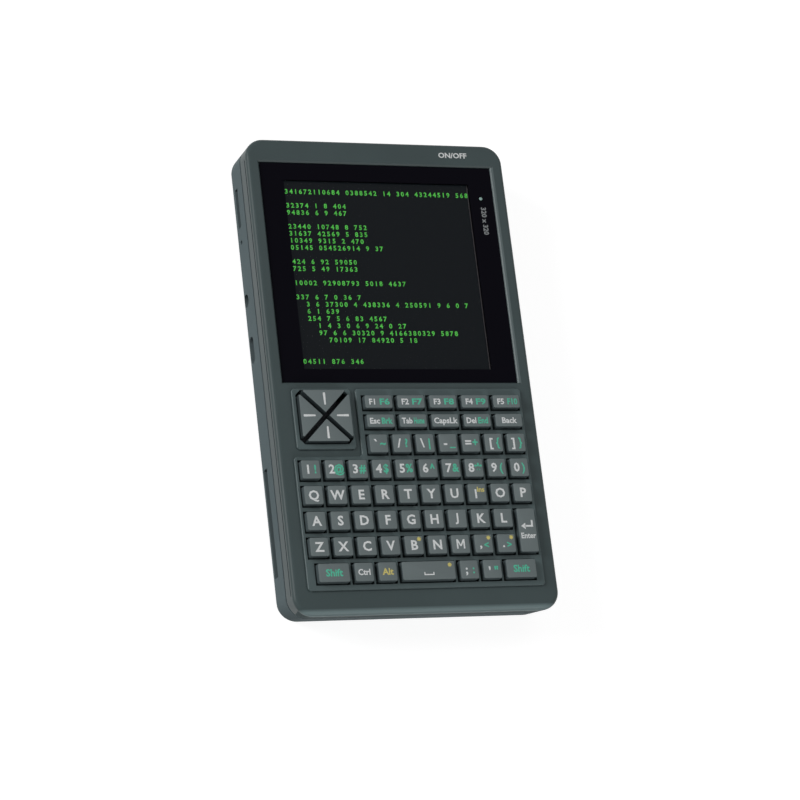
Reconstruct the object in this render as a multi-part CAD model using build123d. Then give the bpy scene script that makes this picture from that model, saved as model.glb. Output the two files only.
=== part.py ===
"""Pocket computer terminal: square screen over a full keyboard, in a two-shell case.

Millimetres. The terminal lies on its back: +Z comes out of the screen, +Y points to the
screen end and +X to the right of the person who types. The origin is the middle of the
rest face.
"""
import os

from build123d import *

os.makedirs("parts", exist_ok=True)

# Case, measured over the front face
body_w = 100.0
body_l = 177.3
body_t = 22.0          # rest face to front face
corner_r = 7.0
end_taper = 3.1        # the keyboard end leans in by this much at the rest face
wall = 2.0
front_depth = 7.8      # front face down to the parting line
part_gap = 0.9         # open line between the two shells
edge_r = 1.5           # round edge of the front face
rear_r = 4.5
tongue_t = 0.95
tongue_h = 1.8
groove_depth = 0.35
groove_w = 0.7
groove_drop = 2.3      # front face down to the grip groove

# Screen
window_side_gap = 4.5  # window to the side of the case
window_top_gap = 8.8
window_low_gap = 2.65  # key plates to the window
window_edge = 0.5      # slope around the window
lens_recess = 0.8
lens_t = 1.0
lens_fit = 0.2
lens_r = 0.6
ledge_t = 1.5
panel_side_gap = 7.5   # panel to the sides of the window
panel_end_gap = 3.25
panel_t = 3.0
panel_step = 1.0       # backlight inside the edge of the glass
panel_shift = -0.6     # the panel sits a little to the left
panel_rise = 2.0       # lower edge of the panel above the window's lower edge
panel_fit = 0.3
frame_t = 1.0
frame_side_gap = 1.0
frame_end_gap = 8.3
frame_rim = 8.0        # width of the frame on the panel
frame_corner = 3.0
lamp_d = 1.8
lamp_from_side = 5.6
lamp_from_top = 12.15
lamp_flange = 0.7

# Keyboard
key_side_gap = 6.95    # keys to the side of the case
key_space = 1.9        # between keys in a row
pitch_y = 9.32
key_l = 6.79
columns = 10
field_gap = 11.05      # keyboard end of the case to the lowest keys
small_l = 4.85
small_gap_y = 2.26
small_count = 5
upper_gap_y = 2.55     # symbol row up to the editing row
shift_extra = 4.58     # a shift key over a letter key
bottom_row_trim = 4.12
first_upper_column = 3
key_rise = 2.1
key_draft = 0.14
key_edge = 0.22
key_gap = 0.45
key_travel = 1.0
flange_t = 1.0
flange_catch = 0.45
flange_gap = 0.05
skirt = 1.05
pad_trim = 7.6         # three columns down to the pad
pad_corner = 1.8
pad_slot = 1.8
pad_inset = 1.95
pad_rise = 1.9

# Raised key plates
plate_rise = 0.9
plate_edge = 0.25
plate_r = 0.8
plate_side = 1.6
plate_foot = 2.4
plate_head = 1.15
plate_step = 1.8
plate_inner = 2.45
channel_w = 1.8

# Boards, mat and battery
face_wall = 1.7
dome_gap = 0.3
dome_h = 0.9
dome_share = 0.55
mat_t = 1.1
mat_side_gap = 0.4
board_t = 1.6
board_gap = 0.7
link_h = 3.6           # main board up to the keypad board
module_w = 21.0
module_end_gap = 16.3
module_chip_w = 7.0
module_chip_t = 0.9
module_t = 1.0
pin_strip_h = 2.0
pin_strip_w = 2.5
large_chip_w = 10.0
small_chip_w = 7.0
chip_h = 1.2
coil_w = 6.0
coil_h = 2.0
reset_w = 4.0
reset_h = 2.0
battery_side_gap = 20.0
battery_top_gap = 34.6
battery_room = 0.6     # battery to the main board
battery_r = 2.0
battery_tab_l = 2.0
battery_tab_t = 3.0
battery_fence = 1.2
speaker_d = 28.0
speaker_room = 1.6
speaker_spread = 10.0  # middle line to a speaker's edge
speaker_up = 12.0      # speaker above the lowest keys
speaker_ring = 1.5
speaker_ring_h = 2.4
speaker_rim = 1.2
slot_count = 5
slot_w = 1.6
slot_pitch = 3.4
magnet_d = 14.0
cable_t = 0.3
cable_w = 20.0
socket_h = 1.6
socket_l = 5.0

# Screws
screw_d = 2.0
screw_fit = 0.1
case_head_d = 3.8
case_head_h = 1.6
case_boss_d = 5.0
case_grip = 4.0        # screw length held by the front shell
board_head_d = 3.4
board_head_h = 1.4
board_screw_l = 3.4
post_d = 3.6
standoff_d = 5.0

# Openings in the left side and the end
card_w = 14.0
card_h = 1.9
card_depth = 14.5
usb_w = 8.94
usb_h = 3.26
usb_depth = 7.35
jack_w = 6.0
jack_room = 1.2        # jack to the inside of the back
jack_l = 12.0
jack_bore = 3.6
header_pins = 15
header_pitch = 2.54
header_h = 2.54
header_depth = 8.5
port_gap = 0.45
card_share = 0.848     # places of the ports along the window
reset_share = 0.692
jack_share = 0.4305
usb_share = 0.205
port_set = 0.4         # port face behind the inside of the wall
reset_d = 1.6
button_w = 9.0
button_h = 2.9
button_travel = 0.6
button_flush = 0.2
button_flange = 0.9
button_lip = 0.9
button_fit = 0.25
button_rise = 0.2      # button centre above the main board's top face

round_sides = 8        # flats that stand for a circle on small repeated features
ring_sides = 20

# Heights worked out from the sizes above
face_z = body_t
plate_z = face_z + plate_rise
key_top_z = plate_z + key_rise
ceiling_z = face_z - face_wall
split_z = face_z - front_depth
lean_z = face_z - edge_r
front_rim_z = split_z + part_gap / 2
rear_rim_z = split_z - part_gap / 2
tongue_z = front_rim_z + tongue_h
flange_top_z = ceiling_z - flange_gap
flange_low_z = flange_top_z - flange_t
key_low_z = flange_low_z - skirt
dome_z = key_low_z - key_travel - dome_gap
mat_top_z = dome_z - dome_h
mat_low_z = mat_top_z - mat_t
keyboard_low_z = mat_low_z - board_t
lens_low_z = face_z - lens_recess - lens_t
ledge_low_z = lens_low_z - ledge_t
panel_low_z = lens_low_z - panel_t
frame_low_z = panel_low_z - frame_t
main_top_z = keyboard_low_z - link_h
main_low_z = main_top_z - board_t
battery_t = main_low_z - wall - battery_room
speaker_t = main_low_z - wall - speaker_room
jack_h = main_low_z - wall - jack_room

# Places worked out from the sizes above
inner_x = body_w / 2 - wall
field_w = body_w - 2 * key_side_gap
field_left = -field_w / 2
key_w = (field_w - (columns - 1) * key_space) / columns
pitch_x = key_w + key_space
shift_w = key_w + shift_extra
bottom_row_w = field_w - bottom_row_trim
pad_w = first_upper_column * pitch_x - pad_trim
pad_edge_w = pad_w - 2 * pad_corner
bottom_row_y = -body_l / 2 + field_gap + key_l / 2
digit_row_y = bottom_row_y + 4 * pitch_y
symbol_row_y = digit_row_y + pitch_y
upper_left = field_left + first_upper_column * pitch_x
small_w = (field_w / 2 - upper_left - (small_count - 1) * key_space) / small_count
small_pitch = small_w + key_space
edit_row_y = symbol_row_y + key_l / 2 + upper_gap_y + small_l / 2
function_row_y = edit_row_y + small_l + small_gap_y
pad_x = field_left + pad_inset + pad_w / 2
pad_y = function_row_y + small_l / 2 + pad_rise - pad_w / 2
plate_left = field_left - plate_side
plate_low = bottom_row_y - key_l / 2 - plate_foot
plate_top = pad_y + pad_w / 2 + plate_head
plate_step_y = digit_row_y + key_l / 2 + plate_step
upper_plate_left = upper_left - plate_inner
pad_plate_left = pad_x - pad_w / 2 - pad_inset
pad_plate_right = upper_plate_left - channel_w
pad_plate_low = pad_y - pad_w / 2 - plate_foot
window_w = body_w - 2 * window_side_gap
window_top_y = body_l / 2 - window_top_gap
window_low_y = plate_top + window_low_gap
window_l = window_top_y - window_low_y
window_x = 0.0
window_y = (window_top_y + window_low_y) / 2
panel_w = window_w - 2 * panel_side_gap
panel_l = window_l - 2 * panel_end_gap
panel_x = window_x + panel_shift
panel_y = window_low_y + panel_rise + panel_l / 2
frame_w = window_w - 2 * frame_side_gap
frame_l = window_l - 2 * frame_end_gap
module_l = window_l - 2 * module_end_gap
lamp_x = window_w / 2 - lamp_from_side
lamp_y = window_top_y - lamp_from_top
card_y = window_low_y + card_share * window_l
reset_y = window_low_y + reset_share * window_l
jack_y = window_low_y + jack_share * window_l
usb_y = window_low_y + usb_share * window_l
header_y = digit_row_y - 14.3
button_x = window_w / 2 - 15.2
button_z = main_top_z + button_rise
key_board_top = plate_top - 2.6
key_board_low = plate_low + board_gap

# Fastening points
case_points = [
    (sx * (inner_x - 4.6), body_l / 2 - wall - 3.5) for sx in (-1, 1)
] + [
    (sx * (inner_x - 4.4), (window_low_y + plate_top) / 2 - 0.65) for sx in (-1, 1)
] + [
    (sx * (inner_x - 3.9), -body_l / 2 + end_taper + 5.2) for sx in (-1, 1)
]
post_x = inner_x - 2.1
post_points = [
    (sx * post_x, y)
    for sx in (-1, 1)
    for y in (edit_row_y - 0.8, digit_row_y - 1.4 * pitch_y, bottom_row_y + 1.5)
]
frame_points = [
    (sx * (window_w / 2 - 3.2), window_y + sy * (frame_l / 2 - 9.2))
    for sx in (-1, 1) for sy in (-1, 1)
]
speaker_y = bottom_row_y + speaker_up
standoff_points = [
    (-inner_x + 10.6, body_l / 2 - 10.5),
    (inner_x - 10.6, body_l / 2 - 10.5),
    (inner_x - 7.1, window_low_y + 9.0),
    (-inner_x + 11.6, window_low_y - 20.0),
    (0.0, speaker_y),
]
speaker_points = [(sx * (speaker_d / 2 + speaker_spread), speaker_y) for sx in (-1, 1)]
battery_low_y = speaker_y + speaker_d / 2 + 3 * speaker_ring + 2.6
battery_top_y = window_top_y - battery_top_gap
battery_x = 4.0
battery_y = (battery_low_y + battery_top_y) / 2
battery_w = body_w - 2 * battery_side_gap
battery_l = battery_top_y - battery_low_y


def case_block(low, high, inset=0.0):
    """Solid between two heights of the case, drawn in by the inset; its keyboard end leans."""
    sketch = RectangleRounded(body_w - 2 * inset, body_l - 2 * inset, corner_r - inset)
    field = Rectangle(body_w, 2 * body_l)
    height = high - low
    slope = end_taper / lean_z
    straight = extrude(Pos(0, 0, low) * (sketch & Pos(0, body_l - end_taper) * field), height)
    foot = Pos(0, slope * (lean_z - low), low) * (sketch & Pos(0, -body_l) * field)
    return straight + Solid.extrude(foot.faces()[0], Vector(0, -slope * height, height))


def block(x, y, low, width, length, high):
    """Upright block centred at x, y between two heights."""
    return Pos(x, y, (low + high) / 2) * Box(width, length, high - low)


def span(left, right, low_y, top_y, low, high):
    """Upright block between two sides, two ends and two heights."""
    return block((left + right) / 2, (low_y + top_y) / 2, low, right - left, top_y - low_y, high)


def post(x, y, low, diameter, high, sides=round_sides):
    """Upright round bar centred at x, y between two heights."""
    return extrude(Pos(x, y, low) * RegularPolygon(diameter / 2, sides), high - low)


def row_keys(row, first, count):
    """Centres of the full keys in a row counted down from the digits."""
    y = digit_row_y - row * pitch_y
    return [(field_left + key_w / 2 + (first + i) * pitch_x, y, key_w, key_l) for i in range(count)]


def small_keys(y):
    """Centres and sizes of a row of small keys."""
    return [(upper_left + small_w / 2 + i * small_pitch, y, small_w, small_l)
            for i in range(small_count)]


def bottom_keys():
    """Centres and sizes of the lowest row, from left to right."""
    space_w = bottom_row_w - 2 * shift_w - 4 * key_w - 6 * key_space
    widths = [shift_w, key_w, key_w, space_w, key_w, key_w, shift_w]
    places = []
    left = -bottom_row_w / 2
    for width in widths:
        places.append((left + width / 2, bottom_row_y, width, key_l))
        left += width + key_space
    return places


def key_groups():
    """Every rectangular key, as node name to a list of centre and top size."""
    groups = {}
    for row, letters in ((1, "qwertyuiop"), (2, "asdfghjkl"), (3, "zxcvbnm")):
        for letter, place in zip(letters, row_keys(row, 0, len(letters))):
            groups["key_" + letter] = [place]
    bottom = bottom_keys()
    enter_x = field_left + key_w / 2 + (columns - 1) * pitch_x
    enter_y = digit_row_y - 2.5 * pitch_y
    groups["key_enter"] = [(enter_x, enter_y, key_w, pitch_y + key_l)]
    groups["key_space"] = [bottom[3]]
    groups["digit_keys"] = row_keys(0, 0, columns)
    groups["symbol_keys"] = row_keys(-1, first_upper_column, columns - first_upper_column)
    groups["function_keys"] = small_keys(function_row_y)
    groups["editing_keys"] = small_keys(edit_row_y)
    groups["punctuation_keys"] = row_keys(3, 7, 2) + [bottom[4], bottom[5]]
    groups["modifier_keys"] = [bottom[0], bottom[1], bottom[2], bottom[6]]
    return groups


def arrow_turns():
    """Turn of each arrow key about the middle of the pad."""
    return {"key_up": 0, "key_left": 90, "key_down": 180, "key_right": 270}


def cap(sketch_low, sketch_high):
    """Key body: drafted from its foot to its top, which has an eased edge."""
    body = loft([Pos(0, 0, key_low_z) * sketch_low, Pos(0, 0, key_top_z) * sketch_high], ruled=True)
    return chamfer(body.faces().sort_by(Axis.Z)[-1].edges(), key_edge)


def make_key(x, y, width, length):
    """One rectangular key with the flange that stops it under the face."""
    body = cap(Rectangle(width + 2 * key_draft, length + 2 * key_draft), Rectangle(width, length))
    flange_l = length + 2 * (key_draft + key_gap + flange_catch)
    flange = block(0, 0, flange_low_z, width + 2 * key_draft, flange_l, flange_top_z)
    return Pos(x, y, 0) * (body + flange)


def wedge(grow=0.0):
    """Top arrow of the pad, pointing at its middle, grown by its draft."""
    outer = pad_w / 2 + grow
    side = pad_edge_w / 2 + grow
    tip = (pad_slot / 2 - grow) * 2 ** 0.5
    points = [(-side, outer), (side, outer), (side, side + tip), (0, tip), (-side, side + tip)]
    return make_face(Polyline(*points, close=True))


def make_arrow(turn):
    """One arrow key of the pad with its flange along the outer edge."""
    body = cap(wedge(key_draft), wedge())
    reach = pad_w / 2 + key_draft + key_gap + flange_catch
    root = pad_w / 2 - 2 * key_edge
    flange = span(-pad_edge_w / 2, pad_edge_w / 2, root, reach, flange_low_z, flange_top_z)
    return Pos(pad_x, pad_y, 0) * (Rot(0, 0, turn) * (body + flange))


def key_windows(low, high):
    """Holes for every key, between two heights."""
    margin = 2 * (key_draft + key_gap)
    holes = [block(x, y, low, w + margin, l + margin, high)
             for places in key_groups().values() for x, y, w, l in places]
    pad_hole = chamfer(Rectangle(pad_w + margin, pad_w + margin).vertices(), pad_corner)
    holes.append(extrude(Pos(pad_x, pad_y, low) * pad_hole, high - low))
    return holes


def plates():
    """The two raised plates that the keys come through."""
    low_points = [
        (plate_left, plate_low), (-plate_left, plate_low), (-plate_left, plate_top),
        (upper_plate_left, plate_top), (upper_plate_left, plate_step_y), (plate_left, plate_step_y),
    ]
    main = make_face(Polyline(*low_points, close=True))
    pad = Pos((pad_plate_left + pad_plate_right) / 2, (pad_plate_low + plate_top) / 2) * Rectangle(
        pad_plate_right - pad_plate_left, plate_top - pad_plate_low)
    result = []
    for face in (main, pad):
        eased = chamfer(face.vertices(), plate_r)
        raised = extrude(Pos(0, 0, ceiling_z) * eased, plate_z - ceiling_z)
        result.append(chamfer(raised.faces().sort_by(Axis.Z)[-1].edges(), plate_edge))
    return result


def front_cavity():
    """Hollow of the front shell: deep under the keys and the end, shallow under the screen."""
    low = case_block(front_rim_z, ledge_low_z, wall)
    upper = case_block(ledge_low_z, ceiling_z, wall)
    bridge = span(-body_w, body_w, window_low_y - face_wall, window_top_y + face_wall,
                  ledge_low_z, ceiling_z)
    rebate = case_block(front_rim_z, tongue_z, wall - tongue_t - lens_fit / 2)
    return [low, upper - bridge, rebate]


def front_posts():
    """Bosses inside the front shell for the case, the keyboard and the screen frame."""
    posts = [post(x, y, split_z, case_boss_d, ceiling_z) for x, y in case_points]
    posts += [post(x, y, mat_low_z, post_d, ceiling_z) for x, y in post_points]
    posts += [post(x, y, panel_low_z, post_d, ledge_low_z) for x, y in frame_points]
    return posts


def front_screw_bores():
    """Blind bores for the screws that end in the front shell."""
    bore_d = screw_d + screw_fit
    bores = [post(x, y, split_z, bore_d, split_z + case_grip) for x, y in case_points]
    grip = board_screw_l - board_t
    bores += [post(x, y, mat_low_z, bore_d, mat_low_z + grip) for x, y in post_points]
    grip = board_screw_l - frame_t
    bores += [post(x, y, panel_low_z, bore_d, panel_low_z + grip) for x, y in frame_points]
    return bores


def screen_openings():
    """Lens pocket, panel opening and lamp hole in the front shell."""
    pocket = block(window_x, window_y, lens_low_z, window_w, window_l, plate_z)
    rims = [Pos(window_x, window_y, face_z - window_edge) * Rectangle(window_w, window_l),
            Pos(window_x, window_y, face_z) * Rectangle(window_w + 2 * window_edge,
                                                        window_l + 2 * window_edge)]
    slope = loft(rims, ruled=True)
    panel = block(panel_x, panel_y, ledge_low_z, panel_w + 2 * panel_fit,
                  panel_l + 2 * panel_fit, lens_low_z)
    lamp = post(lamp_x, lamp_y, ledge_low_z, lamp_d + screw_fit, lens_low_z)
    return [pocket, slope, panel, lamp]


def side_grooves():
    """Grip groove along each long side of the front shell."""
    length = body_l - 2 * corner_r - 2 * groove_w
    middle = face_z - groove_drop - groove_w / 2
    side = body_w / 2 - groove_depth / 2
    return [Pos(sx * side, 0, middle) * Box(groove_depth, length, groove_w) for sx in (-1, 1)]


def make_front_case():
    """Front shell with the screen pocket, the key plates and its bosses."""
    shell = case_block(front_rim_z, face_z)
    shell = fillet(shell.faces().sort_by(Axis.Z)[-1].edges(), edge_r)
    shell = shell - front_cavity()
    shell = shell + front_posts()
    shell = shell + plates()
    shell = shell - screen_openings() - side_grooves() - front_screw_bores()
    return shell - key_windows(ceiling_z, plate_z)


def make_lens():
    """Black-bordered cover lens of the screen."""
    sketch = Rectangle(window_w - 2 * lens_fit, window_l - 2 * lens_fit)
    sketch = chamfer(sketch.vertices(), lens_r)
    glass = extrude(Pos(window_x, window_y, lens_low_z) * sketch, lens_t)
    return glass - post(lamp_x, lamp_y, lens_low_z, lamp_d + screw_fit, lens_low_z + lens_t)


def make_panel():
    """Square display panel bonded to the back of the lens."""
    glass = block(panel_x, panel_y, panel_low_z + panel_t / 2, panel_w, panel_l, lens_low_z)
    backlight = block(panel_x, panel_y, panel_low_z, panel_w - 2 * panel_step,
                      panel_l - 2 * panel_step, panel_low_z + panel_t / 2)
    return glass + backlight


def make_frame():
    """Sheet frame that holds the panel, screwed to the front shell."""
    plate = block(window_x, window_y, frame_low_z, frame_w, frame_l, panel_low_z)
    plate = chamfer(plate.edges().filter_by(Axis.Z), frame_corner)
    window = block(panel_x, window_y, frame_low_z, panel_w - 2 * frame_rim,
                   frame_l - 2 * frame_rim, panel_low_z)
    holes = [post(x, y, frame_low_z, screw_d + screw_fit, panel_low_z) for x, y in frame_points]
    return plate - window - holes


def make_lamp():
    """Light guide of the status lamp, with a collar under the ledge."""
    guide = post(lamp_x, lamp_y, ledge_low_z - lamp_flange, lamp_d, lens_low_z + lens_t)
    collar = post(lamp_x, lamp_y, ledge_low_z - lamp_flange, lamp_d + 2 * lamp_flange, ledge_low_z)
    return guide + collar


def make_display_cable():
    """Flat cable from the back of the panel down to its socket on the main board."""
    low_y = panel_y - panel_l / 2 + panel_step
    left = panel_x - cable_w / 2
    top = span(left, left + cable_w, low_y, low_y + socket_l, panel_low_z - cable_t, panel_low_z)
    drop = span(left, left + cable_w, low_y, low_y + cable_t, main_top_z + socket_h, panel_low_z)
    cable = top + drop
    bend = cable.edges().filter_by(Axis.X).group_by(Axis.Z)[-1].sort_by(Axis.Y)[0]
    return fillet(bend, cable_t * 0.8)


def boss_notches(low, high):
    """Cut-outs at the sides of a board or mat for the case bosses."""
    reach = case_boss_d / 2 + board_gap
    return [block(x + (1 if x > 0 else -1) * reach, y, low, 4 * reach, 2 * reach, high)
            for x, y in case_points]


def make_mat():
    """Silicone mat with a pad under every key."""
    left = -post_x + post_d / 2 + mat_side_gap
    base = span(left, -left, key_board_low, key_board_top, mat_low_z, mat_top_z)
    base -= boss_notches(mat_low_z, mat_top_z)
    pads = []
    for places in key_groups().values():
        for x, y, w, l in places:
            pads.append(block(x, y, mat_top_z, w * dome_share, l * dome_share, dome_z))
    for turn in arrow_turns().values():
        pad = block(0, pad_w / 3, mat_top_z, pad_w * dome_share / 3, pad_w * dome_share / 4, dome_z)
        pads.append(Pos(pad_x, pad_y, 0) * (Rot(0, 0, turn) * pad))
    return base + pads


def make_keypad_board():
    """Circuit board under the mat, held by six screws."""
    left = -inner_x + board_gap
    board = span(left, -left, key_board_low, key_board_top, keyboard_low_z, mat_low_z)
    holes = [post(x, y, keyboard_low_z, screw_d + screw_fit, mat_low_z) for x, y in post_points]
    chip = block(0, digit_row_y, keyboard_low_z - 1.0, 9.0, 9.0, keyboard_low_z)
    return board - boss_notches(keyboard_low_z, mat_low_z) - holes + chip


def make_board_link():
    """Pin header that joins the keypad board to the main board."""
    y = (function_row_y + edit_row_y) / 2
    body = block(0, y, main_top_z, 8 * header_pitch, 2 * header_pitch, keyboard_low_z)
    waist = block(0, y, main_top_z + 1.4, 9 * header_pitch, 2 * header_pitch, keyboard_low_z - 1.4)
    core = block(0, y, main_top_z + 1.4, 7 * header_pitch, header_pitch, keyboard_low_z - 1.4)
    return body - waist + core


def main_board_outline():
    """Main board with room at its edges for the case bosses."""
    left = -inner_x + board_gap
    low = -body_l / 2 + wall + end_taper + board_gap
    top = body_l / 2 - wall - 2.5
    board = span(left, -left, low, top, main_low_z, main_top_z)
    return board - boss_notches(main_low_z, main_top_z)


def chip(share, y, width, height=None):
    """Square chip on the main board, at a share of the way from the middle to the side."""
    top = main_top_z + (height or chip_h)
    return block(share * inner_x, y, main_top_z, width, width, top)


def board_parts():
    """Chips and sockets soldered to the top of the main board."""
    cable_y = panel_y - panel_l / 2 + panel_step
    return [
        block(panel_x, cable_y, main_top_z, cable_w + socket_l, socket_l, main_top_z + socket_h),
        chip(0.5, window_y + window_l / 6, large_chip_w),
        chip(0.55, window_y - window_l / 8, small_chip_w),
        chip(-0.58, window_y + window_l / 4, small_chip_w),
        chip(-0.56, window_y - window_l / 7, coil_w, coil_h),
        chip(0.46, digit_row_y - 1.3 * pitch_y, small_chip_w),
        chip(-0.42, digit_row_y - 2.1 * pitch_y, small_chip_w),
        block(-inner_x + reset_w, reset_y, main_low_z - reset_h, reset_w, reset_w, main_low_z),
    ]


def make_main_board():
    """Main board with its soldered parts."""
    board = main_board_outline()
    bore_d = screw_d + screw_fit
    holes = [post(x, y, main_low_z, bore_d, main_top_z) for x, y in standoff_points]
    return board - holes + board_parts()


def make_module():
    """Plug-in processor module on two pin strips."""
    y = window_y
    strip_x = module_w / 2 - pin_strip_w / 2
    low = main_top_z + pin_strip_h
    strips = [block(sx * strip_x, y, main_top_z, pin_strip_w, module_l - 2, low) for sx in (-1, 1)]
    board = block(0, y, low, module_w, module_l, low + module_t)
    chip = block(0, y, low + module_t, module_chip_w, module_chip_w,
                 low + module_t + module_chip_t)
    return board + strips + chip


def make_battery():
    """Flat lithium pack with its folded tab end."""
    pack = block(battery_x, battery_y, wall, battery_w, battery_l, wall + battery_t)
    pack = fillet(pack.edges().filter_by(Axis.Y), battery_r)
    top = battery_top_y + battery_tab_l
    tab = span(battery_x - battery_w / 3, battery_x + battery_w / 3, battery_y, top, wall,
               wall + battery_tab_t)
    return pack + tab


def make_speakers():
    """Two round speakers that face the grilles."""
    result = []
    for x, y in speaker_points:
        rim = post(x, y, wall, speaker_d, wall + speaker_rim, ring_sides)
        basket = post(x, y, wall, (speaker_d + magnet_d) / 2, wall + 2 * speaker_rim, ring_sides)
        result.append(rim + basket + post(x, y, wall, magnet_d, wall + speaker_t, ring_sides))
    return Compound(children=result)


def make_card_socket():
    """Thin metal card socket, open towards the side of the case."""
    face_x = -inner_x + port_set
    can = span(face_x, face_x + card_depth, card_y - card_w / 2, card_y + card_w / 2,
               main_low_z - card_h, main_low_z)
    slot = span(face_x, face_x + card_depth - 2, card_y - card_w / 2 + 1.2,
                card_y + card_w / 2 - 1.2, main_low_z - card_h + 0.3, main_low_z - 0.5)
    return can - slot


def side_stadium(width, height, depth, x, y, z):
    """Bar with round ends that runs along +X from x."""
    profile = Plane(origin=(x, y, z), x_dir=(0, 1, 0), z_dir=(1, 0, 0)) * RectangleRounded(
        width, height, height / 2 - 0.01)
    return extrude(profile, depth)


def make_usb_port():
    """Oval charging socket with its tongue."""
    face_x = -inner_x + port_set
    z = main_low_z - usb_h / 2
    shell = side_stadium(usb_w, usb_h, usb_depth, face_x, usb_y, z)
    hollow = side_stadium(usb_w - 0.6, usb_h - 0.6, usb_depth - 1.0, face_x, usb_y, z)
    tongue = span(face_x + 0.8, face_x + usb_depth - 0.5, usb_y - 3.3, usb_y + 3.3, z - 0.35, z + 0.35)
    return shell - hollow + tongue


def make_audio_jack():
    """Headphone socket with its round nose and bore."""
    face_x = -inner_x + port_set
    z = main_low_z - jack_h / 2
    body = span(face_x, face_x + jack_l, jack_y - jack_w / 2, jack_y + jack_w / 2,
                main_low_z - jack_h, main_low_z)
    bore = Pos(face_x + jack_l / 2 - 1, jack_y, z) * (Rot(0, 90, 0) * Cylinder(jack_bore / 2, jack_l - 2))
    return body - bore


def make_expansion_header():
    """Row of sockets that faces the long side opening."""
    face_x = -inner_x + port_set
    length = header_pins * header_pitch + 0.5
    z = main_low_z - header_h / 2
    body = span(face_x, face_x + header_depth, header_y - length / 2, header_y + length / 2,
                main_low_z - header_h, main_low_z)
    holes = []
    for pin in range(header_pins):
        y = header_y + (pin - (header_pins - 1) / 2) * header_pitch
        holes.append(Pos(face_x + 1.5, y, z) * Box(3.0, 0.9, 0.9))
    return body - holes


def side_holes():
    """Openings in the left wall of the rear shell for the ports."""
    x = -body_w / 2 - 1
    depth = wall + 2
    header_l = header_pins * header_pitch + 0.5 + 2 * port_gap
    holes = [side_stadium(usb_w + 2 * port_gap, usb_h + 2 * port_gap, depth, x, usb_y,
                          main_low_z - usb_h / 2)]
    for y, length, height in ((card_y, card_w + 2 * port_gap, card_h + 2 * port_gap),
                              (header_y, header_l, header_h + 2 * port_gap)):
        z = main_low_z - height / 2 + port_gap
        holes.append(span(x, x + depth, y - length / 2, y + length / 2, z - height / 2, z + height / 2))
    holes.append(span(-inner_x, -inner_x + jack_l, jack_y - jack_w / 2 - port_gap,
                      jack_y + jack_w / 2 + port_gap, main_low_z - jack_h - port_gap, main_low_z))
    for y, z, d in ((jack_y, main_low_z - jack_h / 2, jack_h), (reset_y, main_low_z - reset_h / 2, reset_d)):
        holes.append(Pos(x + depth / 2, y, z) * (Rot(0, 90, 0) * Cylinder(d / 2, depth)))
    return holes


def speaker_slots():
    """Sound slots under each speaker."""
    slots = []
    half = slot_count // 2
    for x, y in speaker_points:
        for i in range(-half, half + 1):
            length = speaker_d * (0.62 - 0.11 * abs(i))
            sketch = chamfer(Rectangle(length, slot_w).vertices(), slot_w / 3)
            slots.append(extrude(Pos(x, y + i * slot_pitch, 0) * sketch, wall))
    return slots


def rear_supports(outside):
    """Bosses, board posts and battery fences inside the outside of the rear shell."""
    items = [post(x, y, wall / 2, case_boss_d, rear_rim_z) & outside for x, y in case_points]
    items += [post(x, y, rear_rim_z, case_boss_d, split_z) for x, y in case_points]
    items += [post(x, y, wall / 2, standoff_d, main_low_z) for x, y in standoff_points]
    for x, y in speaker_points:
        room = speaker_d + 2 * panel_fit
        top = wall + speaker_ring_h
        ring = post(x, y, wall / 2, room + 2 * speaker_ring, top, ring_sides)
        items.append(ring - post(x, y, wall / 2, room, top, ring_sides))
    fence = (battery_w + battery_fence) / 2 + panel_fit
    for side in (-1, 1):
        items.append(block(battery_x + side * fence, battery_y, wall / 2, battery_fence,
                           battery_l * 0.6, wall + battery_tab_t))
    return items


def rear_screw_holes():
    """Counterbored holes for the case screws and bores for the board screws."""
    holes = []
    for x, y in case_points:
        holes.append(post(x, y, 0, screw_d + 2 * screw_fit, split_z))
        holes.append(post(x, y, 0, case_head_d + 4 * screw_fit, wall + case_head_h))
    grip = board_screw_l - board_t
    holes += [post(x, y, main_low_z - grip, screw_d + screw_fit, main_low_z)
              for x, y in standoff_points]
    return holes


def button_hole():
    """Window in the end wall for the power button, with a shallow thumb recess."""
    width = button_w + 2 * button_fit
    height = button_h + 2 * button_fit
    return Pos(button_x, body_l / 2 - wall / 2, button_z) * Box(width, 2 * wall, height)


def make_rear_case():
    """Rear shell with rounded edges, tongue, bosses and side openings."""
    outside = case_block(0, rear_rim_z)
    outside = fillet(outside.faces().sort_by(Axis.Z)[0].edges(), rear_r)
    hollow = case_block(wall, rear_rim_z, wall)
    hollow = chamfer(hollow.faces().sort_by(Axis.Z)[0].edges(), rear_r / 2)
    tongue = case_block(rear_rim_z - wall, tongue_z, wall - tongue_t)
    tongue -= case_block(rear_rim_z - wall, tongue_z, wall)
    shell = outside - hollow + tongue + rear_supports(outside)
    return shell - rear_screw_holes() - side_holes() - speaker_slots() - button_hole()


def make_power_button():
    """Power button in the end wall, with its inner flange."""
    outer_y = body_l / 2 - button_flush
    inner_y = body_l / 2 - wall - flange_gap
    body = span(button_x - button_w / 2, button_x + button_w / 2, inner_y - button_flange, outer_y,
                button_z - button_h / 2, button_z + button_h / 2)
    body = fillet(body.edges().filter_by(Axis.Y), button_h / 2 - 0.05)
    half = button_w / 2 + button_lip
    flange = span(button_x - half, button_x + half, inner_y - button_flange, inner_y,
                  button_z - button_h / 5, button_z + button_h / 5)
    return body + flange


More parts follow.
